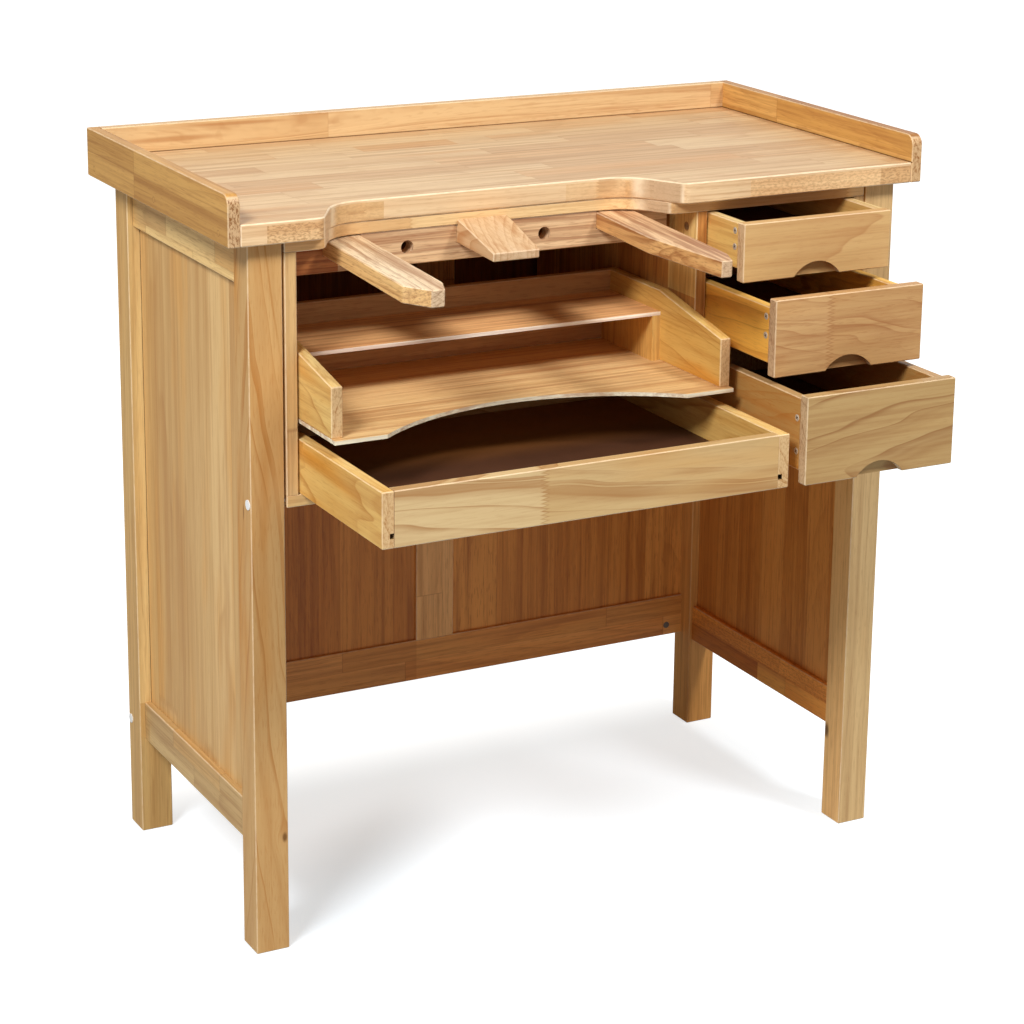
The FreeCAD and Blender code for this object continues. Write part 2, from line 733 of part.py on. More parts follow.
def make_catch_tray():
    inner_depth = "catch_depth - catch_front - catch_back"
    groove_z = "catch_bottom_up"
    groove_high = "catch_bottom + 2 * groove_play"
    panel_z = "catch_low + catch_bottom_up + groove_play"
    front = board("catch_tray_front", ("catch_inner_left", "catch_y", "catch_low"),
                  ("catch_inner_width", "catch_front", "catch_height"), along("x"))
    slot(front, "groove", ("0", "catch_front - drawer_groove", groove_z),
         ("catch_inner_width", "drawer_groove", groove_high))
    for side, left, groove_x in (("left", "catch_left", "catch_side - drawer_groove"),
                                 ("right", "catch_left + catch_width - catch_side", "0")):
        wall = board(f"catch_tray_{side}_side", (left, "catch_y", "catch_low"),
                     ("catch_side", "catch_depth", "catch_height"))
        slot(wall, "groove", (groove_x, "0", groove_z), ("drawer_groove", "catch_depth", groove_high))
    back_up = "(catch_bottom_up + catch_bottom + 2 * groove_play)"
    board("catch_tray_back",
          ("catch_inner_left", "catch_y + catch_depth - catch_back", f"catch_low + {back_up}"),
          ("catch_inner_width", "catch_back", f"catch_height - {back_up}"), along("x"))
    board("catch_tray_bottom",
          ("catch_inner_left - drawer_groove + groove_play",
           "catch_y + catch_front - drawer_groove + groove_play", panel_z),
          ("catch_inner_width + 2 * drawer_groove - 2 * groove_play",
           f"{inner_depth} + catch_back + drawer_groove - groove_play", "catch_bottom"), eased=None)


# Drawers: a box on runners, with a front that hangs below it to hide the runners' ends
# and has an arched finger recess cut part way through its lower edge.

def make_drawer(number):
    name = f"drawer_{number}_"
    front_y = f"leg_front - drawer_{number}_open"
    front_low = f"front_{number}_low"
    side_high = f"drawer_{number}_side"
    side_low = f"{front_low} + runner_height + slide_gap"
    hang = "(runner_height + slide_gap)"
    front = board(name + "front", ("box_left", front_y, front_low),
                  ("box_width", "drawer_front", f"drawer_{number}_front"))
    radius = "(pow(finger_width / 2; 2) / (2 * finger_height) + finger_height / 2)"
    sketch = new_sketch(front, "XZ_Plane", "finger_sketch")
    draw_circle(sketch, "box_width / 2", f"finger_height - {radius}", radius)
    cut(front, sketch, "finger_recess", "finger_deep")
    groove_high = "drawer_bottom + 2 * groove_play"
    slot(front, "groove",
         ("drawer_side - drawer_groove", "drawer_front - drawer_groove", f"{hang} + drawer_bottom_up"),
         ("box_width - 2 * drawer_side + 2 * drawer_groove", "drawer_groove", groove_high))
    box_y = f"{front_y} + drawer_front"
    for side, left, groove_x in (("left", "box_left", "drawer_side - drawer_groove"),
                                 ("right", "box_left + box_width - drawer_side", "0")):
        wall = board(name + side + "_side", (left, box_y, side_low),
                     ("drawer_side", "drawer_depth", side_high), along("y"))
        slot(wall, "groove", (groove_x, "0", "drawer_bottom_up"),
             ("drawer_groove", "drawer_depth", groove_high))
    back_up = "(drawer_bottom_up + drawer_bottom + 2 * groove_play)"
    board(name + "back",
          ("box_left + drawer_side", f"{box_y} + drawer_depth - drawer_back", f"{side_low} + {back_up}"),
          ("box_width - 2 * drawer_side", "drawer_back", f"{side_high} - {back_up}"), along("x"))
    board(name + "bottom",
          ("box_left + drawer_side - drawer_groove + groove_play", f"{box_y} - drawer_groove + groove_play",
           f"{side_low} + drawer_bottom_up + groove_play"),
          ("box_width - 2 * drawer_side + 2 * drawer_groove - 2 * groove_play",
           "drawer_depth + drawer_groove - groove_play", "drawer_bottom"), eased=None)


# Knock-down fasteners: bolts through the legs into barrel nuts, with rimmed plastic caps
# pushed in over the heads.

def make_fasteners():
    bolts = []
    nuts = []
    caps = []
    for side in ("left", "right"):
        inward = 1 if side == "left" else -1
        face = "leg_left" if inward > 0 else "leg_right + leg_across"
        nut_x = "nut_left" if inward > 0 else "nut_right"
        for end in ("front", "back"):
            bolt_y = end + "_bolt_y"
            bolt_z = end + "_bolt_z"
            name = f"{side}_{end}"
            head_at = f"{face} + {inward} * (counterbore_deep - bolt_head_thick)"
            axis = (inward, 0, 0)
            head = rod("head_" + name, axis, (head_at, bolt_y, bolt_z), "bolt_head", "bolt_head_thick")
            shank_at = f"{face} + {inward} * (counterbore_deep - bolt_head_thick / 2)"
            reach = "leg_across - counterbore_deep + bolt_head_thick / 2 + nut_inset - nut / 2 - groove_play"
            shank = rod("shank_" + name, axis, (shank_at, bolt_y, bolt_z), "bolt", reach)
            bolt = document.addObject("Part::MultiFuse", "bolt_" + name)
            bolt.Shapes = [head, shank]
            bolts.append(bolt)
            if end == "front":
                nut_at = (nut_x, bolt_y, "cabinet_low")
                nuts.append(rod("nut_" + name, (0, 0, 1), nut_at, "nut", "nut_length"))
            else:
                nut_at = (nut_x, "back_face", bolt_z)
                nuts.append(rod("nut_" + name, (0, 1, 0), nut_at, "nut", "nut_length"))
            rim_at = f"{face} - {inward} * cap_proud"
            rim = rod("rim_" + name, axis, (rim_at, bolt_y, bolt_z), "cap_rim", "cap_proud")
            plug_at = f"{face} - {inward} * cap_proud / 2"
            plug = rod("plug_" + name, axis, (plug_at, bolt_y, bolt_z),
                       "counterbore - slide_gap", "cap_plug + cap_proud / 2")
            cap = document.addObject("Part::MultiFuse", "cap_" + name)
            cap.Shapes = [rim, plug]
            caps.append(cap)
    group("frame_bolts", bolts)
    group("barrel_nuts", nuts)
    group("bolt_caps", caps)


make_worktop()
make_gallery()
make_leg("left_front_leg", True, True)
make_leg("left_back_leg", True, False)
make_leg("right_front_leg", False, True)
make_leg("right_back_leg", False, False)
make_side_frame("left", True)
make_side_frame("right", False)
make_back_frame()
make_cabinet()
make_runners()
make_pin_rail()
make_bench_pin()
make_armrests()
make_upper_tray()
make_catch_tray()
for drawer in (1, 2, 3):
    make_drawer(drawer)
make_fasteners()
document.recompute()

for thing in document.Objects:
    if "Invalid" in thing.State or "Error" in thing.State:
        raise RuntimeError("failed: " + thing.Name + " " + str(thing.State))
for node in nodes:
    if node.Shape.isNull() or not node.Shape.isValid():
        raise RuntimeError("bad shape: " + node.Label)

os.makedirs("parts", exist_ok=True)
for node in nodes:
    node.Shape.exportStep("parts/" + node.Label + ".step")
print(len(nodes), "nodes,", sum(len(node.Shape.Solids) for node in nodes), "solids")
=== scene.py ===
import math

import bmesh
import bpy
from mathutils import Matrix, Vector


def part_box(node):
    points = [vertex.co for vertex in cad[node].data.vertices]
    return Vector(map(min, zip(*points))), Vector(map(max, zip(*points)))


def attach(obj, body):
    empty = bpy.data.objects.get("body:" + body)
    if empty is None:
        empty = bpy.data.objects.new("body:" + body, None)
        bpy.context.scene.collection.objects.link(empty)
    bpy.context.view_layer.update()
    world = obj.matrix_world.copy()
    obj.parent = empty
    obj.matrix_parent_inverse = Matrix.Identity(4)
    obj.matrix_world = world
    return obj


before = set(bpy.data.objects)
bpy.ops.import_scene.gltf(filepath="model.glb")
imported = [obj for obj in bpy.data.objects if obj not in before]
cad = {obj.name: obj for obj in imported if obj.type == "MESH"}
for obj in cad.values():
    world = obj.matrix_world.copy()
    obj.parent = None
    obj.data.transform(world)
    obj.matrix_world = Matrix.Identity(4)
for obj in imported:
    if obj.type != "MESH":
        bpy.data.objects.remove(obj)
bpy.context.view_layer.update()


# Legs.
# Square posts planed from one long piece of pale plantation wood each and lacquered clear.
# Their corners are eased with a block plane; the side rails are dowelled into their inner faces.

class Wire:
    """What a node gives out. Wires add, subtract, multiply and divide through math nodes."""

    def __init__(self, socket):
        self.socket = socket

    def __add__(self, other):
        return calc("ADD", self, other)

    def __sub__(self, other):
        return calc("SUBTRACT", self, other)

    def __mul__(self, other):
        return calc("MULTIPLY", self, other)

    def __truediv__(self, other):
        return calc("DIVIDE", self, other)


def feed(socket, value):
    """Feeds a socket with a wire or with a plain number, place or colour."""
    if isinstance(value, Wire):
        socket.id_data.links.new(value.socket, socket)
    elif socket.type == "RGBA":
        socket.default_value = (*value, 1.0)
    else:
        socket.default_value = value


def add_node(kind, values, output=0, **settings):
    """Adds a node beside the wires that feed it and gives the wire from one of its outputs."""
    tree = next(value.socket.id_data for value in values.values() if isinstance(value, Wire))
    node = tree.nodes.new(kind)
    for name, setting in settings.items():
        setattr(node, name, setting)
    for key, value in values.items():
        feed(node.inputs[key], value)
    return Wire(node.outputs[output])


def calc(operation, *values):
    """One math node; its inputs are wires or numbers."""
    return add_node("ShaderNodeMath", dict(enumerate(values)), operation=operation)


def vector_calc(operation, *values):
    """One vector math node; a length or a distance comes out as a number."""
    output = "Value" if operation in ("LENGTH", "DISTANCE") else "Vector"
    return add_node("ShaderNodeVectorMath", dict(enumerate(values)), output, operation=operation)


def largest(first, *others):
    for other in others:
        first = calc("MAXIMUM", first, other)
    return first


def ramp(value, start, end, low=0.0, high=1.0):
    """A smooth step from low to high as the value goes from start to end."""
    reach = {"Value": value, "From Min": start, "From Max": end, "To Min": low, "To Max": high}
    return add_node("ShaderNodeMapRange", reach, "Result", interpolation_type="SMOOTHSTEP")


def mix(amount, first, second, blend="MIX"):
    """The first colour turning into the second one as the amount goes from 0 to 1."""
    return add_node("ShaderNodeMix", {"Factor": amount, 6: first, 7: second}, 2, data_type="RGBA",
                    blend_type=blend)


def combine(x, y, z):
    return add_node("ShaderNodeCombineXYZ", {0: x, 1: y, 2: z})


def split(vector):
    """The three parts of a vector."""
    return [Wire(part) for part in add_node("ShaderNodeSeparateXYZ", {0: vector}).socket.node.outputs]


def stretch(parts, scales, shift=0.0):
    """A vector of three parts, each multiplied by its own scale and moved along by a shift."""
    return combine(*[calc("MULTIPLY_ADD", part, scale, shift) for part, scale in zip(parts, scales)])


def dice(vector):
    """Three random numbers from 0 to 1 that stay the same for the same whole numbers."""
    return split(add_node("ShaderNodeTexWhiteNoise", {"Vector": vector}, "Color", noise_dimensions="3D"))


def noise(vector, scale=1.0, detail=2.0, rough=0.5):
    settings = {"Vector": vector, "Scale": scale, "Detail": detail, "Roughness": rough}
    return add_node("ShaderNodeTexNoise", settings, "Fac", noise_dimensions="3D")


def line_noise(value, scale, detail=2.0):
    return add_node("ShaderNodeTexNoise", {"W": value, "Scale": scale, "Detail": detail}, "Fac",
                    noise_dimensions="1D")


# A board that is told nothing else is one plain piece, wider and longer than any here. The widths and
# places of staves and rings are in metres, and from scatter on most settings are strengths.
PLAIN = {"stave": 4.0, "start": -2.0, "length": 9.0, "joint": -4.5, "pith": 0.0, "depth": 0.05,
         "ring": 0.009, "wander": 0.012, "lean": 0.03, "seed": 0.0, "scatter": 0.0, "figure": 0.5,
         "streak": 0.4, "fibre": 0.4, "blush": 0.4, "pore": 0.35, "variety": 0.8, "finger": 1.0, "glue": 1.0}
TONES = ("light", "middle", "dark", "warm")
FINGER_PITCH = 0.0024
FINGER_REACH = 4.0


def grow_wood():
    """The wood that every board is sawn from: staves side by side, finger-jointed end to end.
    Its vector runs along the grain in X, across the staves in Y and through the board in Z."""
    tree = bpy.data.node_groups.new("solid_wood", "ShaderNodeTree")
    sockets = [("vector", "INPUT", "Vector"), ("comb", "INPUT", "Float")]
    sockets += [(name, "INPUT", "Float") for name in PLAIN] + [(name, "INPUT", "Color") for name in TONES]
    sockets += [("color", "OUTPUT", "Color")]
    sockets += [(name, "OUTPUT", "Float") for name in ("roughness", "height", "rings")]
    for name, way, kind in sockets:
        tree.interface.new_socket(name.capitalize(), in_out=way, socket_type="NodeSocket" + kind)
    given = {output.name.lower(): Wire(output) for output in tree.nodes.new("NodeGroupInput").outputs}
    along, across, through = split(given["vector"])

    # which stave, and which length of that stave
    stave_at = (across - given["start"]) / given["stave"]
    stave = calc("FLOOR", stave_at)
    chance, _, openness = dice(combine(stave, given["seed"], 3.7))
    teeth = calc("PINGPONG", given["comb"], FINGER_PITCH) * given["finger"]
    slid = (along - given["joint"]) + (chance * given["length"] * given["scatter"] + teeth * FINGER_REACH)
    length_at = slid / given["length"]
    length = calc("FLOOR", length_at)
    tone, place, tilt = dice(combine(stave, length, given["seed"]))
    shift = (place + tone + given["seed"]) * 7.3

    def drawn(along_scale, across_scale, detail, rough=0.5, moved=shift):
        """Noise with that many features to a metre along the grain and across it."""
        scales = (along_scale, across_scale, across_scale)
        return noise(stretch((along, across, through), scales, moved), 1.0, detail, rough)

    # growth rings round a pith that lies to one side of the length and runs at a slight lean to it
    drift = (drawn(3.4, 15.0, 2.0) - 0.5) * given["wander"]
    spread = (place - 0.5) * given["scatter"]
    local = calc("FRACT", stave_at) * given["stave"]
    off_across = local + spread * 0.16 - given["pith"]
    off_through = through + spread * 0.05 - given["depth"]
    lean = (tilt - 0.5) * given["scatter"] * 0.05 + given["lean"]
    radius = vector_calc("LENGTH", combine(off_across, off_through, 0.0)) + drift + along * lean
    year = calc("FRACT", radius / given["ring"] + line_noise(radius, 60.0) * 2.2)
    late = calc("POWER", year, 3.6) * ramp(year, 0.93, 1.0, 1.0, 0.0)
    rings = late * ramp(drawn(5.0, 26.0, 1.0), 0.28, 0.58, 0.2, 1.0)
    bands = line_noise(radius, 42.0, 1.0)

    # streaks, fibres and open pores drawn out along the grain
    streaks = drawn(1.6, 85.0, 3.0, 0.6)
    fibres = drawn(8.0, 270.0, 3.0, 0.7)
    open_pores = ramp(drawn(52.0, 520.0, 1.0, moved=0.0), 0.56, 0.70) * (openness * 0.55 + 0.45)
    clouds = drawn(3.0, 17.0, 2.0)

    # the tone of the length, then warm clouds, rings, streaks and pores over it
    tone_at = (tone - 0.5) * given["variety"] + bands * 0.7 + clouds * 0.5
    plain = mix(ramp(tone_at, 0.30, 0.90), given["middle"], given["light"])
    odd_one = ramp(chance, 0.0, 1.0, 0.55, 0.35) * (ramp(place, 0.86, 0.90) * given["scatter"])
    base = mix(odd_one, plain, given["warm"])
    warmed = mix(ramp(clouds, 0.52, 0.74) * given["blush"], base, given["warm"])
    ringed = mix(rings * given["figure"], warmed, given["dark"])
    streaked = mix(ramp(streaks, 0.47, 0.68) * given["streak"], ringed, given["dark"])
    silky = mix(ramp(streaks, 0.50, 0.30) * (given["streak"] * 0.7), streaked, given["light"])
    fibred = mix(ramp(fibres, 0.47, 0.70) * given["fibre"], silky, given["dark"])
    pored = mix(open_pores * given["pore"], fibred, given["dark"])

    # glue lines between the staves and round the fingers
    stave_edge = calc("PINGPONG", stave_at, 0.5) * given["stave"]
    length_edge = calc("PINGPONG", length_at, 0.5) * given["length"]
    joint_width = calc("MULTIPLY_ADD", given["finger"], 0.0030, 0.0012)
    joint_line = ramp(length_edge / joint_width, 0.0, 1.0, 0.5, 0.0)
    glue = largest(ramp(stave_edge, 0.0, 0.0010, 0.28, 0.0), joint_line)

    made = tree.nodes.new("NodeGroupOutput").inputs
    feed(made["Color"], mix(glue * given["glue"], pored, given["dark"]))
    feed(made["Roughness"], calc("MULTIPLY_ADD", fibres, 0.20, 0.34))
    feed(made["Height"], fibres * 0.5 - open_pores - rings * 0.4)
    feed(made["Rings"], rings)
    return tree


solid_wood = grow_wood()
# the pale of planed edges, with a painted highlight where they catch the light
EASED_AND_HIGHLIGHT = (0.92, 0.75, 0.52)
END_GREY = (0.64, 0.47, 0.31)
SOFT_EDGE = 0.0004
WOOD_SHEEN = 0.28


def start_material(name):
    """A new material, its shader, and wires for where a surface lies and which way it faces."""
    material = bpy.data.materials.new(name)
    material.use_nodes = True
    nodes = material.node_tree.nodes
    where = nodes.new("ShaderNodeTexCoord").outputs
    return material, nodes["Principled BSDF"], Wire(where["Object"]), Wire(where["Normal"])


def shade(colour, level):
    """A colour made darker or lighter."""
    return tuple(level * part for part in colour)


def block(point, low, high):
    """One within a block of space given by two corners, and nought outside it."""
    centre = [(a + b) / 2 for a, b in zip(low, high)]
    half = [(b - a) / 2 for a, b in zip(low, high)]
    away = vector_calc("ABSOLUTE", vector_calc("SUBTRACT", point, centre))
    return ramp(largest(*split(vector_calc("SUBTRACT", away, half))), -SOFT_EDGE, SOFT_EDGE, 1.0, 0.0)


def finish(material, *names):
    """Gives a finish to pieces that keep the shape they were made to."""
    for name in names:
        cad[name].data.materials.clear()
        cad[name].data.materials.append(material)


def wood(name, pieces, grain, staves, tones, knots=(), plugs=(), seams=(), lengths_and_shade=(), side=None,
         comb="staves", eased_highlight=0.45, end=1.0, speck=0.35, quiet=False, **changes):
    """A wood and the pieces cut from it. Its grain runs along one axis, its staves lie along another.
    Knots are (centre, radius, length along the grain, darkness) and screw plugs (centre, radius).
    Seams are (two axes, two places, radius): lines where another board meets this one, painted dark
    as shade in the joint. Lengths and shade are (low corner, high corner, colour), with how torn their
    grain is where it is: lengths of another tone, and blocks painted lighter or darker for light and
    shade. Side is (axis, colour): faces that look along that axis, painted lighter or darker for the
    light they catch. The comb of a joint shows across the staves or through the depth. Changes are set
    against PLAIN."""
    material, shader, point, normal = start_material(name)
    light, middle, dark, _ = tones
    settings = dict(PLAIN, **changes)
    at = dict(zip("xyz", split(point)))
    facing = {axis: calc("ABSOLUTE", part) for axis, part in zip("xyz", split(normal))}
    spot = dict(at)
    depth = [axis for axis in "xyz" if axis not in (grain, staves)][0]
    hearts = []
    for centre, size, length, darkness in knots:
        # the grain swerves round a knot, which is darker than the wood about it
        away = {axis: spot[axis] - place for axis, place in zip("xyz", centre)}
        reach = vector_calc("LENGTH", combine(away[grain] * (size / length), away[staves], away[depth]))
        near = ramp(reach, size, size * 6.0, 1.0, 0.0)
        spot[staves] = spot[staves] - near * (away[staves] * 0.9)
        heart = ramp(reach, size * 0.4, size * 1.3, darkness, 0.0)
        hearts.append((heart, shade(dark, 0.4 if darkness > 0.6 else 1.0)))
    if quiet:
        # the lengths of the edge are given one by one, so no others show there
        flat_face = ramp(facing[staves], 0.3, 0.5, 1.0, 0.0)
        settings["variety"] = flat_face * settings["variety"]
        settings["glue"] = flat_face * settings["glue"]
    if settings["stave"] > 1.0:
        # the pith of one plain piece is placed in the bench, and not in each stave
        settings["pith"] -= settings["start"]
    settings["vector"] = combine(spot[grain], spot[staves], spot[depth])
    settings["comb"] = spot[staves] if comb == "staves" else spot[depth]
    settings.update(zip(TONES, tones))
    group = material.node_tree.nodes.new("ShaderNodeGroup")
    group.node_tree = solid_wood
    for key, value in settings.items():
        feed(group.inputs[key.capitalize()], value)
    grown = {output.name: Wire(output) for output in group.outputs}
    colour = grown["Color"]
    # painted light and shade: faces that look along the side's axis are made lighter or darker for the light
    # they catch
    if side:
        axis, tint = side
        colour = mix(ramp(facing[axis], 0.6, 0.8), colour, tint, "MULTIPLY")
    # lengths of another tone, and blocks painted lighter or darker for the light and shade that fall there
    for low, high, tint, *torn in lengths_and_shade:
        within = block(point, low, high)
        colour = mix(within, colour, tint, "MULTIPLY")
        if torn:
            # short grain that tore under the plane and took the finish darker
            dots = noise(stretch(at.values(), (170.0, 170.0, 420.0)), 1.0, 2.0, 0.6)
            colour = mix(within * ramp(dots, 0.45, 0.60, 0.0, torn[0]), colour, dark)
    # end grain is duller and darker, with its pores as specks
    speck_scales = [230.0 if axis == staves else 460.0 for axis in "xyz"]
    specks = ramp(noise(stretch(at.values(), speck_scales), 1.0, 2.0, 0.6), 0.48, 0.60)
    grey = [0.45 * part + 0.55 * level for part, level in zip(middle, END_GREY)]
    sawn = mix(calc("MULTIPLY_ADD", specks, speck, grown["Rings"] * 0.6), grey, shade(dark, 0.8))
    colour = mix(ramp(facing[grain], 0.6, 0.9) * end, colour, sawn)
    for heart, heart_colour in hearts:
        colour = mix(heart, colour, heart_colour)
    for centre, size in plugs:
        # a counterbored screw hidden under a face-grain plug, with a thin dark line of glue round it
        reach = vector_calc("DISTANCE", point, centre)
        inside = ramp(reach, size * 0.86, size, 1.0, 0.0)
        rim = inside * ramp(reach, size * 0.62, size * 0.86)
        colour = mix(inside * 0.3, colour, light)
        colour = mix(rim * 0.9, colour, dark)
    if eased_highlight:
        # planed edges are a little paler, and a painted highlight makes them paler still where they slant to
        # the light, more here and less there
        patchy = ramp(noise(point, 90.0, 3.0), 0.3, 0.6, 0.55, 1.0)
        slanting = ramp(largest(*facing.values()), 0.72, 0.86, eased_highlight, 0.0) * patchy
        colour = mix(slanting, colour, EASED_AND_HIGHLIGHT)
    # painted shade: a dark line along each seam where another board meets this one
    for (first, second), (here, there), radius in seams:
        reach = vector_calc("LENGTH", combine(at[first] - here, at[second] - there, 0.0))
        colour = mix(ramp(reach, radius * 0.4, radius, 0.85, 0.0), colour, shade(dark, 0.35))
    feed(shader.inputs["Base Color"], colour)
    feed(shader.inputs["Roughness"], grown["Roughness"])
    feed(shader.inputs["Specular IOR Level"], WOOD_SHEEN)
    bump = {"Strength": 0.3, "Distance": 0.0002, "Height": grown["Height"]}
    feed(shader.inputs["Normal"], add_node("ShaderNodeBump", bump, "Normal"))
    finish(material, *pieces)
    return material


def lowest(name):
    """The left, front and bottom corner of a piece's box, as it rests."""
    return Vector(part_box(name)[0])


def highest(name):
    """The right, back and top corner of a piece's box, as it rests."""
    return Vector(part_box(name)[1])


# how far a block that tones part of a board stands past its faces
HAIR = 0.001
# light, middle, dark and warm tones of each wood
OCHRE = ((0.635, 0.375, 0.145), (0.53, 0.29, 0.102), (0.44, 0.175, 0.033), (0.56, 0.24, 0.048))
WHEAT = ((0.735, 0.493, 0.228), (0.62, 0.381, 0.165), (0.344, 0.153, 0.047), (0.632, 0.326, 0.10))
GOLDEN = ((0.76, 0.48, 0.18), (0.64, 0.38, 0.13), (0.36, 0.15, 0.04), (0.66, 0.32, 0.08))
TAWNY = ((0.85, 0.42, 0.12), (0.73, 0.33, 0.085), (0.38, 0.13, 0.028), (0.70, 0.28, 0.055))
front_low = lowest("left_front_leg")
front_right = highest("left_front_leg").x
wood("left_front_leg_wood", ["left_front_leg"], "z", "x", OCHRE, pith=front_low.x - 0.03,
     depth=front_low.y - 0.02, lean=0.12, ring=0.034, figure=1.0, blush=1.0, wander=0.035, seed=1.0,
     streak=0.12, fibre=0.2, pore=0.25, side=("x", (1.08, 1.12, 1.15)),
     knots=[((front_right - 0.005, front_low.y, 0.155), 0.0035, 0.007, 0.9),
            ((front_low.x, front_low.y + 0.024, 0.588), 0.0016, 0.011, 0.7)])
right_leg_side = lowest("right_front_leg").x
wood("right_front_leg_wood", ["right_front_leg"], "z", "x", WHEAT, pith=right_leg_side - 0.02,
     depth=front_low.y - 0.03, lean=-0.02, ring=0.010, figure=0.4, blush=0.35, seed=2.0, streak=0.25,
     fibre=0.25, pore=0.2, side=("x", (1.27, 1.13, 0.95)),
     knots=[((right_leg_side, front_low.y + 0.039, 0.13), 0.006, 0.012, 0.9)])
BACK_LEG = {"pith": 0.3, "depth": -0.1, "lean": 0.015, "seed": 3.0, "figure": 0.3, "streak": 0.25,
            "pore": 0.2}
# painted light: beside the panels the legs' front faces are painted paler, where light from the front falls
# on them
back_leg_low = lowest("left_back_leg")
back_leg_high = highest("right_back_leg")
left_reveal = ((back_leg_low.x - HAIR, back_leg_low.y - HAIR, highest("left_bottom_rail").z),
               (lowest("left_panel").x, back_leg_low.y + HAIR, highest("left_back_leg").z),
               (1.16, 1.33, 1.59))
RIGHT_REVEAL = (0.87, 1.10, 1.6)
right_leg_outside = (lowest("right_back_leg") + Vector((2 * HAIR, 2 * HAIR, 0.0)),
                     back_leg_high + Vector((HAIR, HAIR, 0.0)), RIGHT_REVEAL)
right_reveal = ((highest("right_panel").x, back_leg_low.y - HAIR, highest("right_bottom_rail").z),
                (back_leg_high.x + HAIR, back_leg_low.y + 2 * HAIR, back_leg_high.z), RIGHT_REVEAL)
wood("left_back_leg_wood", ["left_back_leg"], "z", "x", GOLDEN, lengths_and_shade=[left_reveal], **BACK_LEG)
# painted shade: the right back leg is redder for the shade it stands in, and painted less red on its outer
# faces and beside its panel
wood("right_back_leg_wood", ["right_back_leg"], "z", "x", TAWNY, eased_highlight=0.1,
     lengths_and_shade=[right_leg_outside, right_reveal], **BACK_LEG)


# Side frames.
# A rail at the top, a rail low down, and a panel glued up from narrow staves, let into grooves
# all round. The rails are built up from short offcuts, which is why their tone changes.

STRAW = ((0.816, 0.535, 0.232), (0.672, 0.408, 0.158), (0.48, 0.215, 0.06), (0.76, 0.405, 0.12))
FLAX = ((0.734, 0.504, 0.224), (0.612, 0.392, 0.162), (0.347, 0.157, 0.05), (0.632, 0.336, 0.10))
CREAM = ((0.96, 0.655, 0.275), (0.82, 0.51, 0.20), (0.46, 0.21, 0.06), (0.84, 0.45, 0.13))
UMBER = ((0.651, 0.22, 0.032), (0.539, 0.17, 0.024), (0.279, 0.06, 0.008), (0.558, 0.14, 0.014))
RUSSET = ((0.776, 0.321, 0.074), (0.621, 0.227, 0.044), (0.294, 0.076, 0.013), (0.683, 0.227, 0.037))
OFFCUT = 0.031
SIDE_RAIL = {"stave": OFFCUT, "start": 0.137, "scatter": 1.0, "finger": 0.0}
LEFT_RAIL = dict(SIDE_RAIL, length=0.17, joint=0.075, seed=4.0, figure=0.4)
rail_outer = lowest("left_top_rail").x
rail_reach = (lowest("left_top_rail").y, highest("left_top_rail").y)
# painted shade in the joints where the rails meet the legs
rail_seams = [("xy", (side * rail_outer, end), 0.0014) for side in (1, -1) for end in rail_reach]
wood("side_rail_wood", ["left_bottom_rail"], "y", "z", FLAX, variety=1.3, seams=rail_seams, **LEFT_RAIL)
# painted light: the top rail is paler than the low one, against the shade that the gallery above casts on it
wood("left_top_rail_wood", ["left_top_rail"], "y", "z", CREAM, variety=1.4, seams=rail_seams, **LEFT_RAIL)

# the right side is painted dark within, for the shade it stands in, and is as pale as the rest of the bench
# outside
PALER = (1.0, 1.5, 2.4)
right_middle = (lowest("right_panel").x + highest("right_panel").x) / 2
right_outside = [((right_middle, lowest("right_front_leg").y, 0.0),
                  (highest("right_front_leg").x, back_leg_high.y, back_leg_high.z), PALER)]
# the inside of the low rail is built up from one dark length and paler ones
low_rail = lowest("right_bottom_rail")
low_rail_end = highest("right_bottom_rail")
low_rail_middle = (low_rail.y + low_rail_end.y) / 2
low_rail_stave = low_rail.z + 0.028
rail_offcuts = [((low_rail.x - HAIR, low_rail.y, low_rail_stave),
                 (right_middle, low_rail_end.y, low_rail_end.z + HAIR), (1.4, 1.6, 2.0), 0.3),
                ((low_rail.x - HAIR, low_rail.y, low_rail.z - HAIR),
                 (right_middle, low_rail_middle, low_rail_stave), (1.6, 2.2, 3.2))]
wood("shaded_rail_wood", ["right_top_rail", "right_bottom_rail"], "y", "z", UMBER, length=0.4, seed=5.0,
     figure=0.35, lengths_and_shade=right_outside + rail_offcuts, **SIDE_RAIL)
# painted shade in the joints where the panel meets the legs
panel_seams = [("xy", (lowest("left_panel").x, end), 0.002) for end in rail_reach]
wood("side_panel_wood", ["left_panel"], "z", "y", STRAW, stave=0.071, start=-0.1555, length=2.5, scatter=1.0,
     seed=6.0, figure=0.5, ring=0.012, blush=0.8, streak=0.45, fibre=0.3, variety=1.2, pore=0.15,
     seams=panel_seams)
wood("right_panel_wood", ["right_panel"], "z", "y", RUSSET, stave=0.06, start=0.01, length=2.5, scatter=1.0,
     seed=7.0, figure=0.28, blush=0.2, streak=0.35, variety=0.7, pore=0.3, lengths_and_shade=right_outside)


# Back frame.
# Two rails and a middle muntin glued up from offcuts, round two panels of narrow staves that float
# in their grooves. Bolts and barrel nuts pull the low rail up between the back legs.

CHESTNUT = ((0.861, 0.392, 0.113), (0.683, 0.285, 0.07), (0.356, 0.107, 0.024), (0.743, 0.261, 0.054))
BISCUIT = ((0.98, 0.54, 0.212), (0.85, 0.43, 0.154), (0.435, 0.16, 0.048), (0.80, 0.36, 0.096))
back_face = lowest("back_top_rail").y - HAIR
panel_middle = (lowest("back_left_panel").y + highest("back_left_panel").y) / 2
cabinet_floor = highest("cabinet_floor_board").z
muntin_left = lowest("back_muntin").x
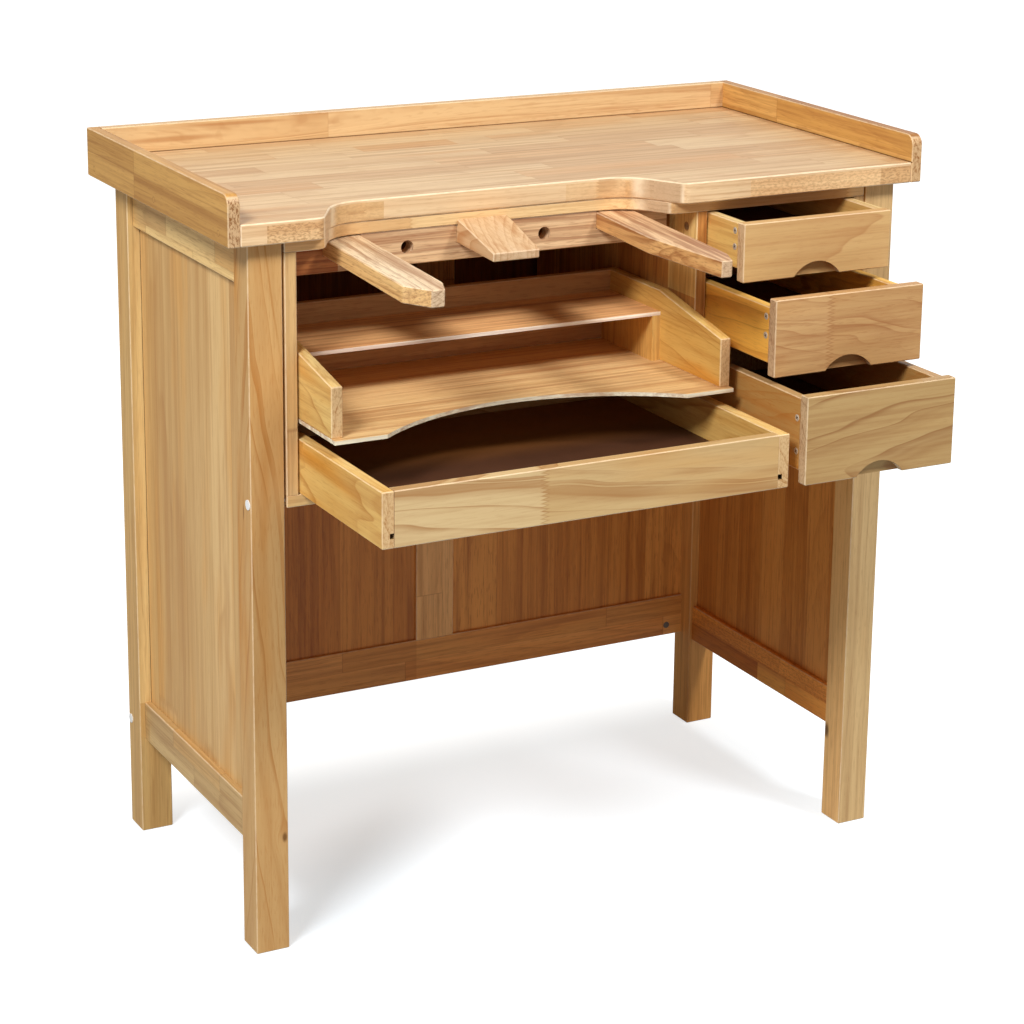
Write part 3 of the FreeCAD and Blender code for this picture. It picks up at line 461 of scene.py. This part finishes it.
# painted shade: the insides are much darker within the cabinet, and below it a little darker on the left and
# paler on the right; the outsides are as pale as the rest of the bench
back_light_and_shade = [((back_leg_low.x, back_face, cabinet_floor),
               (back_leg_high.x, panel_middle, back_leg_high.z), (0.38, 0.32, 0.27)),
              ((back_leg_low.x, panel_middle, 0.0),
               (back_leg_high.x, back_leg_high.y + HAIR, back_leg_high.z), PALER),
              ((back_leg_low.x, back_face, 0.0),
               (muntin_left, panel_middle, cabinet_floor), (0.93, 0.87, 0.80)),
              ((muntin_left, back_face, 0.0),
               (back_leg_high.x, panel_middle, cabinet_floor), (1.08, 1.08, 1.06))]
wood("back_rail_wood", ["back_top_rail", "back_bottom_rail"], "x", "z", CHESTNUT, stave=OFFCUT, start=0.142,
     length=0.44, joint=0.1, scatter=1.0, seed=8.0, figure=0.5, variety=0.9, finger=0.0, lengths_and_shade=back_light_and_shade)
wood("back_panel_wood", ["back_left_panel", "back_right_panel"], "z", "x", RUSSET, stave=0.085, start=0.02,
     length=2.5, scatter=1.0, seed=9.0, figure=0.3, blush=0.2, streak=0.45, variety=0.5, pore=0.35,
     lengths_and_shade=back_light_and_shade)
wood("back_muntin_wood", ["back_muntin"], "z", "x", BISCUIT, stave=0.0415, start=-0.03, length=0.33,
     joint=0.22, scatter=1.0, seed=10.0, figure=0.3, finger=0.0)


# Worktop.
# An edge-glued board of narrow staves, butted end to end, with a curved bite sawn out of its front
# where the jeweler sits. Its comb joints show only on the edge.

PALE = ((0.732, 0.520, 0.292), (0.622, 0.400, 0.208), (0.41, 0.205, 0.082), (0.63, 0.345, 0.15))
WORKTOP_STAVE = 0.041
worktop_low = lowest("worktop")
worktop_high = highest("worktop")
edge_back = worktop_low.y + 0.10
edge_top = worktop_high.z - 0.004
# where the lengths along the front edge begin and end, their tone and how torn their grain is
EDGE = ((-0.450, -0.371, (0.97, 0.92, 0.83), 0.7), (-0.371, -0.262, (0.90, 0.82, 0.68), 0.2),
        (-0.004, 0.040, (0.98, 0.94, 0.87), 0.1), (0.040, 0.080, (0.95, 0.88, 0.78), 0.1),
        (0.080, 0.108, (0.92, 0.82, 0.68), 0.15), (0.108, 0.1165, (0.74, 0.54, 0.40), 0.6),
        (0.229, 0.434, (1.06, 1.0, 0.90), 0.35), (0.434, 0.484, (0.88, 0.76, 0.62), 0.6))
edge_lengths = [((start, worktop_low.y - HAIR, worktop_low.z - HAIR), (end, edge_back, edge_top), tint, torn)
                for start, end, tint, torn in EDGE]
ninth_stave = worktop_low.y + 9 * WORKTOP_STAVE
ruddy_length = ((-0.155, ninth_stave, edge_top),
                (-0.012, ninth_stave + WORKTOP_STAVE, worktop_high.z + HAIR), (0.93, 0.80, 0.68))
wood("worktop_wood", ["worktop"], "x", "y", PALE, stave=WORKTOP_STAVE, start=worktop_low.y, length=0.33,
     joint=0.0, scatter=1.0, seed=12.0, figure=0.3, ring=0.007, blush=0.65, streak=0.5, fibre=0.3,
     variety=1.15, pore=0.25, finger=0.5, glue=0.3, comb="depth", eased_highlight=0.8, speck=0.12, quiet=True,
     side=("y", (1.22, 1.27, 1.35)), lengths_and_shade=edge_lengths + [ruddy_length],
     knots=[((-0.246, -0.176, 0.937), 0.0016, 0.006, 0.8)])


# Gallery.
# Three upstands round the worktop that stop stones and tools rolling off, each screwed to the
# worktop's edge through plugged holes.

TOFFEE = ((0.67, 0.37, 0.105), (0.56, 0.29, 0.076), (0.3, 0.114, 0.025), (0.57, 0.247, 0.046))
CARAMEL = ((0.821, 0.475, 0.146), (0.684, 0.362, 0.095), (0.388, 0.147, 0.034), (0.707, 0.316, 0.069))
BUFF = ((0.801, 0.572, 0.31), (0.704, 0.458, 0.214), (0.444, 0.19, 0.06), (0.753, 0.42, 0.155))
SEAM = 0.0016
SCREW_PLUG = 0.0042
gallery_low = lowest("left_gallery_rail")
gallery_high = highest("left_gallery_rail")
back_rail = lowest("back_gallery_rail").y
GALLERY_RAIL = {"stave": 0.034, "start": gallery_low.z, "finger": 0.0}
screw_height = gallery_low.z + 0.013
screw_places = [gallery_low.y + 0.031, (gallery_low.y + gallery_high.y) / 2, gallery_high.y - 0.026]
left_plugs = [((gallery_low.x, place, screw_height), SCREW_PLUG) for place in screw_places]
right_plugs = [((-gallery_low.x, place, screw_height), SCREW_PLUG) for place in screw_places]
# painted shade in the joints where the gallery rails meet the worktop
side_seams = [("xz", (place, worktop_high.z), SEAM) for place in (worktop_low.x, worktop_high.x)]
back_seam = ("yz", (worktop_high.y, worktop_high.z), SEAM)
wood("left_gallery_wood", ["left_gallery_rail"], "y", "z", TOFFEE, length=0.38, joint=0.185, pith=-0.02,
     depth=gallery_low.x - 0.03, seed=13.0, figure=0.5, ring=0.012, wander=0.02, variety=1.1, speck=0.75,
     plugs=left_plugs, seams=side_seams, **GALLERY_RAIL)
wood("right_gallery_wood", ["right_gallery_rail"], "y", "z", CARAMEL, length=0.5, joint=0.2, pith=0.03,
     depth=-gallery_low.x + 0.02, lean=0.06, seed=14.0, figure=0.45, speck=0.6,
     side=("z", (0.62, 0.52, 0.50)), plugs=right_plugs, seams=side_seams, **GALLERY_RAIL)
wood("back_gallery_wood", ["back_gallery_rail"], "x", "z", BUFF, length=0.62, joint=-0.157, pith=0.05,
     depth=back_rail + 0.04, lean=0.02, seed=15.0, figure=0.4, ring=0.012, glue=0.5, variety=0.5,
     seams=[back_seam], knots=[((place, back_rail, height), 0.0042, 0.075, 0.6)
                               for place, height in ((-0.385, 0.974), (-0.29, 0.984), (-0.19, 0.990))],
     **GALLERY_RAIL)


# Hung cabinet.
# A carcass of plain boards under the worktop. Its top board follows the bite, its floor carries
# the catch tray, and the divider parts the drawers from the trays.

SAND = ((0.762, 0.506, 0.23), (0.618, 0.374, 0.15), (0.35, 0.154, 0.054), (0.659, 0.341, 0.118))
COPPER = ((0.678, 0.345, 0.105), (0.553, 0.25, 0.068), (0.303, 0.10, 0.024), (0.571, 0.235, 0.056))
CARCASS = {"start": worktop_low.y, "scatter": 1.0}
wood("cabinet_top_wood", ["cabinet_top"], "x", "y", PALE, stave=0.05, length=0.52, seed=16.0, figure=0.3,
     comb="depth", finger=0.5, glue=0.5, eased_highlight=0.7, speck=0.12, side=("y", (1.22, 1.19, 1.05)), **CARCASS)
wood("cabinet_floor_wood", ["cabinet_floor_board"], "x", "y", STRAW, stave=0.05, length=0.5, seed=17.0,
     figure=0.3, comb="depth", finger=0.5, **CARCASS)
wood("cabinet_side_wood", ["cabinet_left_side", "cabinet_right_side"], "z", "y", SAND, stave=OFFCUT,
     length=0.9, seed=18.0, figure=0.45, variety=1.1, **CARCASS)
divider_low = lowest("cabinet_divider")
divider_screw = Vector((divider_low.x, divider_low.y + 0.026, 0.8915))
# light from the left falls on the front of the divider, over the upper tray
sunlit = ((divider_low.x - HAIR, divider_low.y - HAIR, 0.80),
          (divider_low.x + HAIR, divider_low.y + 0.07, 0.92), (1.4, 2.05, 2.8))
wood("divider_wood", ["cabinet_divider"], "z", "y", COPPER, stave=0.037, length=0.9, seed=19.0, figure=0.6,
     ring=0.006, variety=1.0, lengths_and_shade=[sunlit], plugs=[(divider_screw, 0.0064)], **CARCASS)
wood("runner_wood", ["drawer_runners", "tray_runners"], "y", "x", STRAW, seed=20.0)


# Divider screw plug.
# A turned wooden button over the screw that holds the divider to the pin rail's end. It is glued
# into the counterbore and stands a little proud.

def add_piece(name, shape, *materials):
    """Makes an object of a finished shape."""
    mesh = bpy.data.meshes.new(name)
    shape.to_mesh(mesh)
    shape.free()
    for material in materials:
        mesh.materials.append(material)
    piece = bpy.data.objects.new(name, mesh)
    bpy.context.scene.collection.objects.link(piece)
    return piece


WALNUT = ((0.34, 0.20, 0.09), (0.26, 0.15, 0.065), (0.05, 0.025, 0.012), (0.26, 0.13, 0.05))
PLUG_RADIUS = 0.0048
PLUG_THICK = 0.0012
PLUG_PROUD = 0.0002
plug = bmesh.new()
bmesh.ops.create_cone(plug, cap_ends=True, cap_tris=False, segments=32, radius1=PLUG_RADIUS,
                      radius2=PLUG_RADIUS * 0.9, depth=PLUG_THICK)
turn_left = Matrix.Rotation(math.radians(-90.0), 4, "Y")
bmesh.ops.transform(plug, matrix=turn_left, verts=plug.verts)
bmesh.ops.translate(plug, vec=divider_screw - Vector((PLUG_PROUD, 0.0, 0.0)), verts=plug.verts)
plug_wood = wood("plug_wood", [], "x", "y", WALNUT, seed=21.0, end=0.1, eased_highlight=0.0)
divider_plug = add_piece("divider_plug", plug, plug_wood)
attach(divider_plug, "bench")


# Pin rail, bench pin and armrests.
# A stout rail with three mortises, a wedge to saw and file on, and two bars to rest the arms on.
# The bars are wedged in the mortises and lean a little under their own weight.

PEACH = ((0.88, 0.63, 0.37), (0.72, 0.45, 0.235), (0.34, 0.14, 0.06), (0.79, 0.465, 0.215))
APRICOT = ((0.76, 0.55, 0.36), (0.70, 0.47, 0.26), (0.45, 0.19, 0.06), (0.74, 0.48, 0.24))
IVORY = ((0.87, 0.70, 0.47), (0.75, 0.53, 0.31), (0.34, 0.15, 0.06), (0.77, 0.50, 0.27))
ROSY = ((0.836, 0.568, 0.325), (0.682, 0.406, 0.205), (0.34, 0.14, 0.06), (0.748, 0.418, 0.19))
rail_low = lowest("pin_rail")
rail_high = highest("pin_rail")
pin_low = lowest("bench_pin")
left_low = lowest("left_armrest")
right_low = lowest("right_armrest")
# painted shade: the rail is darker and redder behind the left armrest, which shades it, and dark along its
# top edge under the cabinet top
shaded_end = (rail_low - Vector((HAIR, HAIR, HAIR)), (left_low.x + 0.02, rail_high.y, rail_high.z),
              (0.68, 0.38, 0.2))
wood("pin_rail_wood", ["pin_rail"], "x", "z", PEACH, pith=rail_low.z - 0.03, depth=rail_low.y + 0.06,
     ring=0.007, lean=0.008, seed=22.0, figure=0.9, streak=0.75, fibre=0.45, blush=0.4, pore=0.45, eased_highlight=0.1,
     lengths_and_shade=[shaded_end], seams=[("yz", (rail_low.y, rail_high.z), 0.0018)])
wood("bench_pin_wood", ["bench_pin"], "y", "x", APRICOT, pith=pin_low.x + 0.075, depth=pin_low.z + 0.004,
     ring=0.0085, lean=0.16, wander=0.02, seed=23.0, figure=0.9, blush=0.2, fibre=0.4, end=0.5)
wood("left_armrest_wood", ["left_armrest"], "y", "x", IVORY, pith=left_low.x - 0.01, depth=left_low.z + 0.07,
     ring=0.008, lean=0.05, wander=0.03, seed=24.0, figure=0.75, streak=0.6, fibre=0.6, pore=0.5, eased_highlight=0.15,
     side=("x", (1.0, 0.80, 0.50)))
wood("right_armrest_wood", ["right_armrest"], "y", "x", ROSY, pith=right_low.x + 0.02,
     depth=right_low.z + 0.01, ring=0.008, lean=0.05, seed=25.0, figure=0.9, streak=0.9, fibre=0.6, pore=0.5,
     eased_highlight=0.4, side=("x", (0.98, 0.84, 0.58)))


# Upper tray.
# A thin floor with a scooped front, two shaped walls, a back, and a shelf on two short supports,
# all of sawn board and glued. It slides in and out on two wooden runners.

AMBER = ((0.776, 0.456, 0.136), (0.679, 0.363, 0.088), (0.388, 0.14, 0.028), (0.698, 0.316, 0.056))
VANILLA = ((0.948, 0.92, 0.74), (0.80, 0.696, 0.486), (0.485, 0.291, 0.167), (0.85, 0.66, 0.39))
CORAL = ((0.895, 0.50, 0.212), (0.735, 0.366, 0.134), (0.403, 0.142, 0.05), (0.76, 0.34, 0.112))
SADDLE = ((0.66, 0.38, 0.17), (0.54, 0.28, 0.10), (0.30, 0.11, 0.035), (0.56, 0.26, 0.08))
wood("tray_floor_wood", ["tray_floor"], "x", "y", VANILLA, pith=lowest("tray_floor").y - 0.05, depth=0.62,
     ring=0.008, lean=0.01, wander=0.02, seed=26.0, figure=0.4, streak=0.7, blush=0.3, end=0.0,
     side=("z", (0.87, 0.625, 0.37)))
wood("tray_shelf_wood", ["tray_shelf"], "x", "y", CORAL, pith=lowest("tray_shelf").y - 0.03, depth=0.68,
     ring=0.009, lean=0.015, wander=0.02, seed=27.0, figure=0.45, streak=0.7, end=0.5,
     side=("y", (1.25, 2.15, 4.5)))
wood("tray_back_wood", ["tray_back_wall"], "x", "z", SADDLE, pith=0.75, depth=0.2, seed=28.0, figure=0.35,
     streak=0.4)
TRAY_WALLS = (("tray_left_wall", (0.82, 0.56, 0.20), (0.71, 0.42, 0.12)),
              ("tray_right_wall", (0.72, 0.44, 0.12), (0.63, 0.33, 0.07)))
for wall, palest, plainest in TRAY_WALLS:
    wood(wall + "_wood", [wall], "y", "z", (palest, plainest, (0.42, 0.15, 0.02), (0.70, 0.29, 0.035)),
         pith=0.60, depth=0.25, lean=-0.12, ring=0.018, wander=0.04, seed=29.0, figure=0.75, blush=1.0,
         fibre=0.2, side=("z", (1.15, 1.3, 1.6)))
wood("tray_support_wood", ["tray_shelf_supports"], "z", "y", AMBER, seed=40.0, side=("y", (1.2, 1.5, 2.0)))


# Catch tray.
# A wide shallow box that catches filings. The front is joined from two lengths with a comb, and
# the grooves for the bottom run out through the sides' ends.

OAT = ((0.70, 0.505, 0.255), (0.60, 0.395, 0.17), (0.38, 0.17, 0.05), (0.62, 0.35, 0.12))
MARIGOLD = ((0.86, 0.60, 0.215), (0.75, 0.44, 0.12), (0.46, 0.17, 0.02), (0.76, 0.34, 0.05))
catch_front = lowest("catch_tray_front").y
wood("catch_front_wood", ["catch_tray_front", "catch_tray_back"], "x", "z", OAT, length=0.6,
     joint=-0.184 - 0.6, pith=0.56, depth=catch_front + 0.05, ring=0.022, lean=0.11, wander=0.04, seed=30.0,
     figure=1.0, blush=0.8, streak=0.2, fibre=0.15, pore=0.15, variety=0.5)
catch_left = lowest("catch_tray_left_side")
catch_right = highest("catch_tray_right_side")
groove = lowest("catch_tray_bottom").z
# painted shade: the open ends of the grooves for the bottom are painted near black on the sides' front ends
groove_shade = [((place - 0.009, catch_left.y - HAIR, groove - 0.0005),
                 (place + 0.004, catch_left.y + 0.02, groove + 0.0065), (0.05, 0.04, 0.03))
                for place in (catch_left.x + 0.0125, catch_right.x - 0.0075)]
wood("catch_side_wood", ["catch_tray_left_side", "catch_tray_right_side"], "y", "z", MARIGOLD, pith=0.68,
     depth=0.2, lean=-0.10, ring=0.02, wander=0.05, seed=31.0, figure=0.85, blush=1.0, fibre=0.2,
     lengths_and_shade=groove_shade, side=("z", (1.1, 1.25, 1.6)))


# Drawers.
# Boxes on wooden runners. Each front hangs below its sides and has a finger cut in its lower edge;
# two screws through each side hold it on.

# the tones and the grain of the front, the two palest tones of the sides, and how high the screws sit
DRAWERS = (
    (((0.777, 0.529, 0.247), (0.693, 0.432, 0.179), (0.483, 0.216, 0.074), (0.735, 0.41, 0.147)),
     {"pith": 0.87, "depth": -0.05, "ring": 0.016, "lean": 0.05, "figure": 0.75, "wander": 0.03,
      "fibre": 0.2},
     (0.88, 0.60, 0.21), (0.76, 0.47, 0.135), (0.81, 0.46)),
    (((0.665, 0.405, 0.178), (0.57, 0.322, 0.128), (0.361, 0.138, 0.043), (0.608, 0.304, 0.102)),
     {"pith": 0.70, "depth": -0.10, "ring": 0.016, "lean": 0.08, "figure": 0.9, "wander": 0.035,
      "pore": 0.25, "fibre": 0.2, "joint": 0.265 - 9.0},
     (1.0, 0.53, 0.092), (1.0, 0.43, 0.056), (0.82, 0.48)),
    (((0.58, 0.402, 0.18), (0.495, 0.306, 0.12), (0.29, 0.123, 0.036), (0.512, 0.297, 0.104)),
     {"pith": 0.61, "depth": -0.30, "ring": 0.020, "lean": -0.10, "figure": 1.0, "wander": 0.045,
      "fibre": 0.2, "streak": 0.3, "pore": 0.2},
     (0.57, 0.33, 0.11), (0.47, 0.25, 0.073), (0.71, 0.25)))
for number, (front_tones, front_grain, palest, plainest, _) in enumerate(DRAWERS, 1):
    drawer = f"drawer_{number}"
    wood(drawer + "_front_wood", [drawer + "_front"], "x", "z", front_tones, seed=31.0 + number,
         **front_grain)
    wood(drawer + "_side_wood", [drawer + "_left_side", drawer + "_right_side", drawer + "_back"], "y", "z",
         (palest, plainest, (0.42, 0.14, 0.02), (0.74, 0.29, 0.035)),
         pith=lowest(drawer + "_left_side").z - 0.02, depth=0.12, lean=0.05 * number, ring=0.016,
         wander=0.05, seed=35.0 + number, figure=0.7, blush=0.9, fibre=0.2, side=("z", (1.0, 1.17, 1.7)))


# Drawer screws.
# Countersunk cross-head screws of plated steel, two through each drawer side into the front's end.
# Their heads stand a hair proud of the wood.

def metal(name, colour, rough):
    """Plated steel: even colour with faint mottling and small differences in polish."""
    material, shader, point, _ = start_material(name)
    cloud = noise(point, 400.0, 4.0, 0.6)
    feed(shader.inputs["Base Color"], mix(cloud, colour, shade(colour, 0.7)))
    feed(shader.inputs["Roughness"], calc("MULTIPLY_ADD", cloud, 0.2, rough))
    feed(shader.inputs["Metallic"], 1.0)
    return material


screw_steel = metal("screw_steel", (0.86, 0.80, 0.70), 0.5)
# painted shade: the screws' cross cuts are thin near-black blocks, for the shade in the recess
recess_shade = metal("screw_recess_shade", (0.12, 0.10, 0.08), 0.6)
HEAD_RADIUS = 0.0045
HEAD_PROUD = 0.0003
HEAD_SINK = 0.0012
CROSS_WIDE = HEAD_RADIUS * 0.18
CROSS_DEEP = 0.0002
CROSS_TURN = 0.5
SCREW_INSET = 0.007


def screw_head(name, outward, place, body):
    """A flat screw head in a drawer side, with a near-black cross painted in as the shade of its cut, facing
    left (-1) or right (1).
    """
    head = bmesh.new()
    bmesh.ops.create_cone(head, cap_ends=True, cap_tris=False, segments=32, radius1=HEAD_RADIUS * 0.5,
                          radius2=HEAD_RADIUS, depth=HEAD_SINK)
    bmesh.ops.translate(head, vec=(0, 0, -HEAD_SINK / 2), verts=head.verts)
    top = max(head.faces, key=lambda face: face.calc_center_median().z)
    bmesh.ops.inset_region(head, faces=[top], thickness=HEAD_RADIUS * 0.12, depth=HEAD_PROUD)
    for turn in (0.0, math.pi / 2):
        size = Matrix.Diagonal((HEAD_RADIUS, CROSS_WIDE, CROSS_DEEP, 1.0))
        arm = Matrix.Rotation(turn + CROSS_TURN, 4, "Z") @ size
        cross = bmesh.ops.create_cube(head, size=1.0, matrix=Matrix.Translation((0, 0, HEAD_PROUD)) @ arm)
        for face in {face for vert in cross["verts"] for face in vert.link_faces}:
            face.material_index = 1
    turned = Matrix.Translation(place) @ Matrix.Rotation(outward * math.pi / 2, 4, "Y")
    bmesh.ops.transform(head, matrix=turned, verts=head.verts)
    bmesh.ops.recalc_face_normals(head, faces=head.faces)
    piece = add_piece(name, head, screw_steel, recess_shade)
    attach(piece, body)


for number, (_, _, _, _, screw_shares) in enumerate(DRAWERS, 1):
    for side, outward in (("left", -1), ("right", 1)):
        low = lowest(f"drawer_{number}_{side}_side")
        high = highest(f"drawer_{number}_{side}_side")
        outer_face = low.x if outward < 0 else high.x
        for row, share in enumerate(screw_shares, 1):
            place = (outer_face, low.y + SCREW_INSET, low.z + share * (high.z - low.z))
            screw_head(f"drawer_{number}_{side}_screw_{row}", outward, place, f"drawer_{number}")


# Smooth bottoms.
# Thin hardboard with a smooth brown face, slid into the grooves of the trays and drawers.
# The catch tray's is painted greyer and darker towards its front, where light falls on it, than behind in
# the shade.

HARDBOARD_FLECK = (0.03, 0.015, 0.01)
HARDBOARD_LIT_GREY = (0.17, 0.16, 0.34)
HARDBOARD_ROUGH = 0.48


def hardboard(name, colour, lit_front_to=None):
    """Pressed board: a brown skin with faint mottling and a dull sheen, painted greyer and darker up to some
    place, as light falls there.
    """
    material, shader, point, _ = start_material(name)
    cloud = noise(point, 45.0, 5.0, 0.65)
    fleck = ramp(noise(point, 700.0, 2.0), 0.5, 0.7) * 0.2
    skin = mix(fleck, mix(cloud, colour, shade(colour, 1.35)), HARDBOARD_FLECK)
    if lit_front_to:
        # painted light and shade: greyer and darker towards the front up to that place, where light falls,
        # than in the shade behind
        skin = mix(ramp(split(point)[1], *lit_front_to, 1.0, 0.0), skin, HARDBOARD_LIT_GREY, "MULTIPLY")
    feed(shader.inputs["Base Color"], skin)
    feed(shader.inputs["Roughness"], calc("MULTIPLY_ADD", cloud, 0.15, HARDBOARD_ROUGH))
    return material


finish(hardboard("catch_tray_hardboard", (0.34, 0.12, 0.018), (catch_front + 0.20, catch_front + 0.34)),
       "catch_tray_bottom")
finish(hardboard("drawer_hardboard", (0.15, 0.05, 0.014)), "drawer_1_bottom", "drawer_2_bottom",
       "drawer_3_bottom")


# Knock-down fasteners.
# Zinc-plated bolts go through the legs into barrel nuts set in the cabinet floor and the low back
# rail, and pull the frames together. White plastic caps are pressed over the bolt heads.

finish(metal("zinc_plate", (0.50, 0.49, 0.46), 0.3), "frame_bolts")
# painted shade: the barrel nuts' dull zinc is painted darker for the shade of the holes they sit in
finish(metal("dull_zinc_and_hole_shade", (0.20, 0.17, 0.14), 0.4), "barrel_nuts")
cap_plastic, shader, point, _ = start_material("cap_plastic_white")
moulded = noise(point, 500.0, 3.0)
feed(shader.inputs["Base Color"], mix(moulded, (0.97, 0.97, 0.96), (0.92, 0.92, 0.90)))
feed(shader.inputs["Roughness"], calc("MULTIPLY_ADD", moulded, 0.1, 0.3))
finish(cap_plastic, "bolt_caps")


# Floor and light.
# A white studio floor that glows white far off and less near the bench, so the bench's soft shadow
# shows there, with a painted shadow behind the left front leg; a broad key light from the front left,
# a smaller one from the front right and a dim surround.

scene = bpy.context.scene
scene.view_settings.view_transform = "Standard"
WHITE = (1.0, 1.0, 1.0)
FLOOR_HALF = 30.0
FLOOR_PAINT = (0.53, 0.59, 0.64)
GLOW_IN_PAINTED_SHADOW = 0.42
GLOW_NEAR = 0.69
GLOW_FAR = 1.0
floor_shape = bmesh.new()
bmesh.ops.create_grid(floor_shape, x_segments=1, y_segments=1, size=FLOOR_HALF)
studio_white, paper, point, _ = start_material("studio_white")
feed(paper.inputs["Base Color"], FLOOR_PAINT)
feed(paper.inputs["Roughness"], 1.0)
feed(paper.inputs["Specular IOR Level"], 0.0)
floor_x, floor_y, _ = split(point)
beside = calc("ABSOLUTE", floor_x) - back_leg_high.x
behind = floor_y - back_leg_high.y
before = calc("SUBTRACT", front_low.y, floor_y)
# painted shadow: the floor glows less in a patch behind the left front leg, drawn out away from the key
# light
PATCH_LONG = 0.28
PATCH_WIDE = 0.10
patch_turn = math.radians(40.0)
from_leg_x = floor_x - (front_low.x + 0.15)
from_leg_y = floor_y - (front_low.y + 0.10)
patch_x = (from_leg_x * (math.cos(patch_turn) / PATCH_LONG)
           + from_leg_y * (math.sin(patch_turn) / PATCH_LONG))
patch_y = (from_leg_y * (math.cos(patch_turn) / PATCH_WIDE)
           - from_leg_x * (math.sin(patch_turn) / PATCH_WIDE))
from_painted_shadow = vector_calc("LENGTH", combine(patch_x, patch_y, 0.0))
under = ramp(from_painted_shadow, 0.1, 1.6, GLOW_IN_PAINTED_SHADOW, GLOW_NEAR)
level = ramp(largest(beside, behind, before), -0.04, 0.14, under, GLOW_FAR)
floor_nodes = studio_white.node_tree.nodes
seen = Wire(floor_nodes.new("ShaderNodeLightPath").outputs["Is Camera Ray"])
glow = add_node("ShaderNodeEmission", {"Color": WHITE, "Strength": seen * level})
both = add_node("ShaderNodeAddShader", {0: Wire(paper.outputs[0]), 1: glow})
feed(floor_nodes["Material Output"].inputs["Surface"], both)
studio_floor = add_piece("studio_floor", floor_shape, studio_white)

SURROUND = 0.27
SURROUND_TINT = (1.0, 0.90, 0.78)
world = bpy.data.worlds.new("studio")
scene.world = world
world.use_nodes = True
surround = world.node_tree.nodes["Background"]
rays = world.node_tree.nodes.new("ShaderNodeLightPath").outputs
seen = largest(*[Wire(rays[f"Is {kind} Ray"]) for kind in ("Camera", "Glossy", "Transmission")])
feed(surround.inputs["Color"], mix(seen, SURROUND_TINT, WHITE))
feed(surround.inputs["Strength"], calc("MULTIPLY_ADD", seen, 1.0 - SURROUND, SURROUND))
BENCH_HEART = Vector((0.0, 0.0, 0.7))


def lamp(name, place, size, power):
    """A round lamp that shines on the middle of the bench."""
    light = bpy.data.lights.new(name, "AREA")
    light.shape = "DISK"
    light.size = size
    light.energy = power
    holder = bpy.data.objects.new(name, light)
    holder.location = place
    holder.rotation_euler = (BENCH_HEART - Vector(place)).to_track_quat("-Z", "Y").to_euler()
    scene.collection.objects.link(holder)


lamp("key_light", (-3.2, -2.3, 4.0), 1.45, 205.0)
lamp("right_light", (1.5, -2.8, 4.1), 0.9, 106.0)


# Camera.
# A long lens at about eye height, before the bench and to its left, looking down on it a little.
# It is rolled a hair, as a camera held by hand is.

IMAGE_WIDE = 1024
FOCAL_PIXELS = 2763.2
CENTRE_ACROSS = 554.1
CENTRE_DOWN = 365.8
EYE = (-1.6853, -3.1221, 1.6477)
TURNED_LEFT = 28.57
TIPPED_DOWN = 14.98
ROLLED = 0.85
camera_data = bpy.data.cameras.new("camera")
camera_data.sensor_width = 36.0
camera_data.lens = camera_data.sensor_width * FOCAL_PIXELS / IMAGE_WIDE
camera_data.shift_x = 0.5 - CENTRE_ACROSS / IMAGE_WIDE
camera_data.shift_y = CENTRE_DOWN / IMAGE_WIDE - 0.5
camera = bpy.data.objects.new("camera", camera_data)
turn = Matrix.Rotation(math.radians(-TURNED_LEFT), 4, "Z")
tip = Matrix.Rotation(math.radians(90.0 - TIPPED_DOWN), 4, "X")
roll = Matrix.Rotation(math.radians(ROLLED), 4, "Z")
camera.matrix_world = Matrix.Translation(EYE) @ turn @ tip @ roll
scene.collection.objects.link(camera)
scene.camera = camera
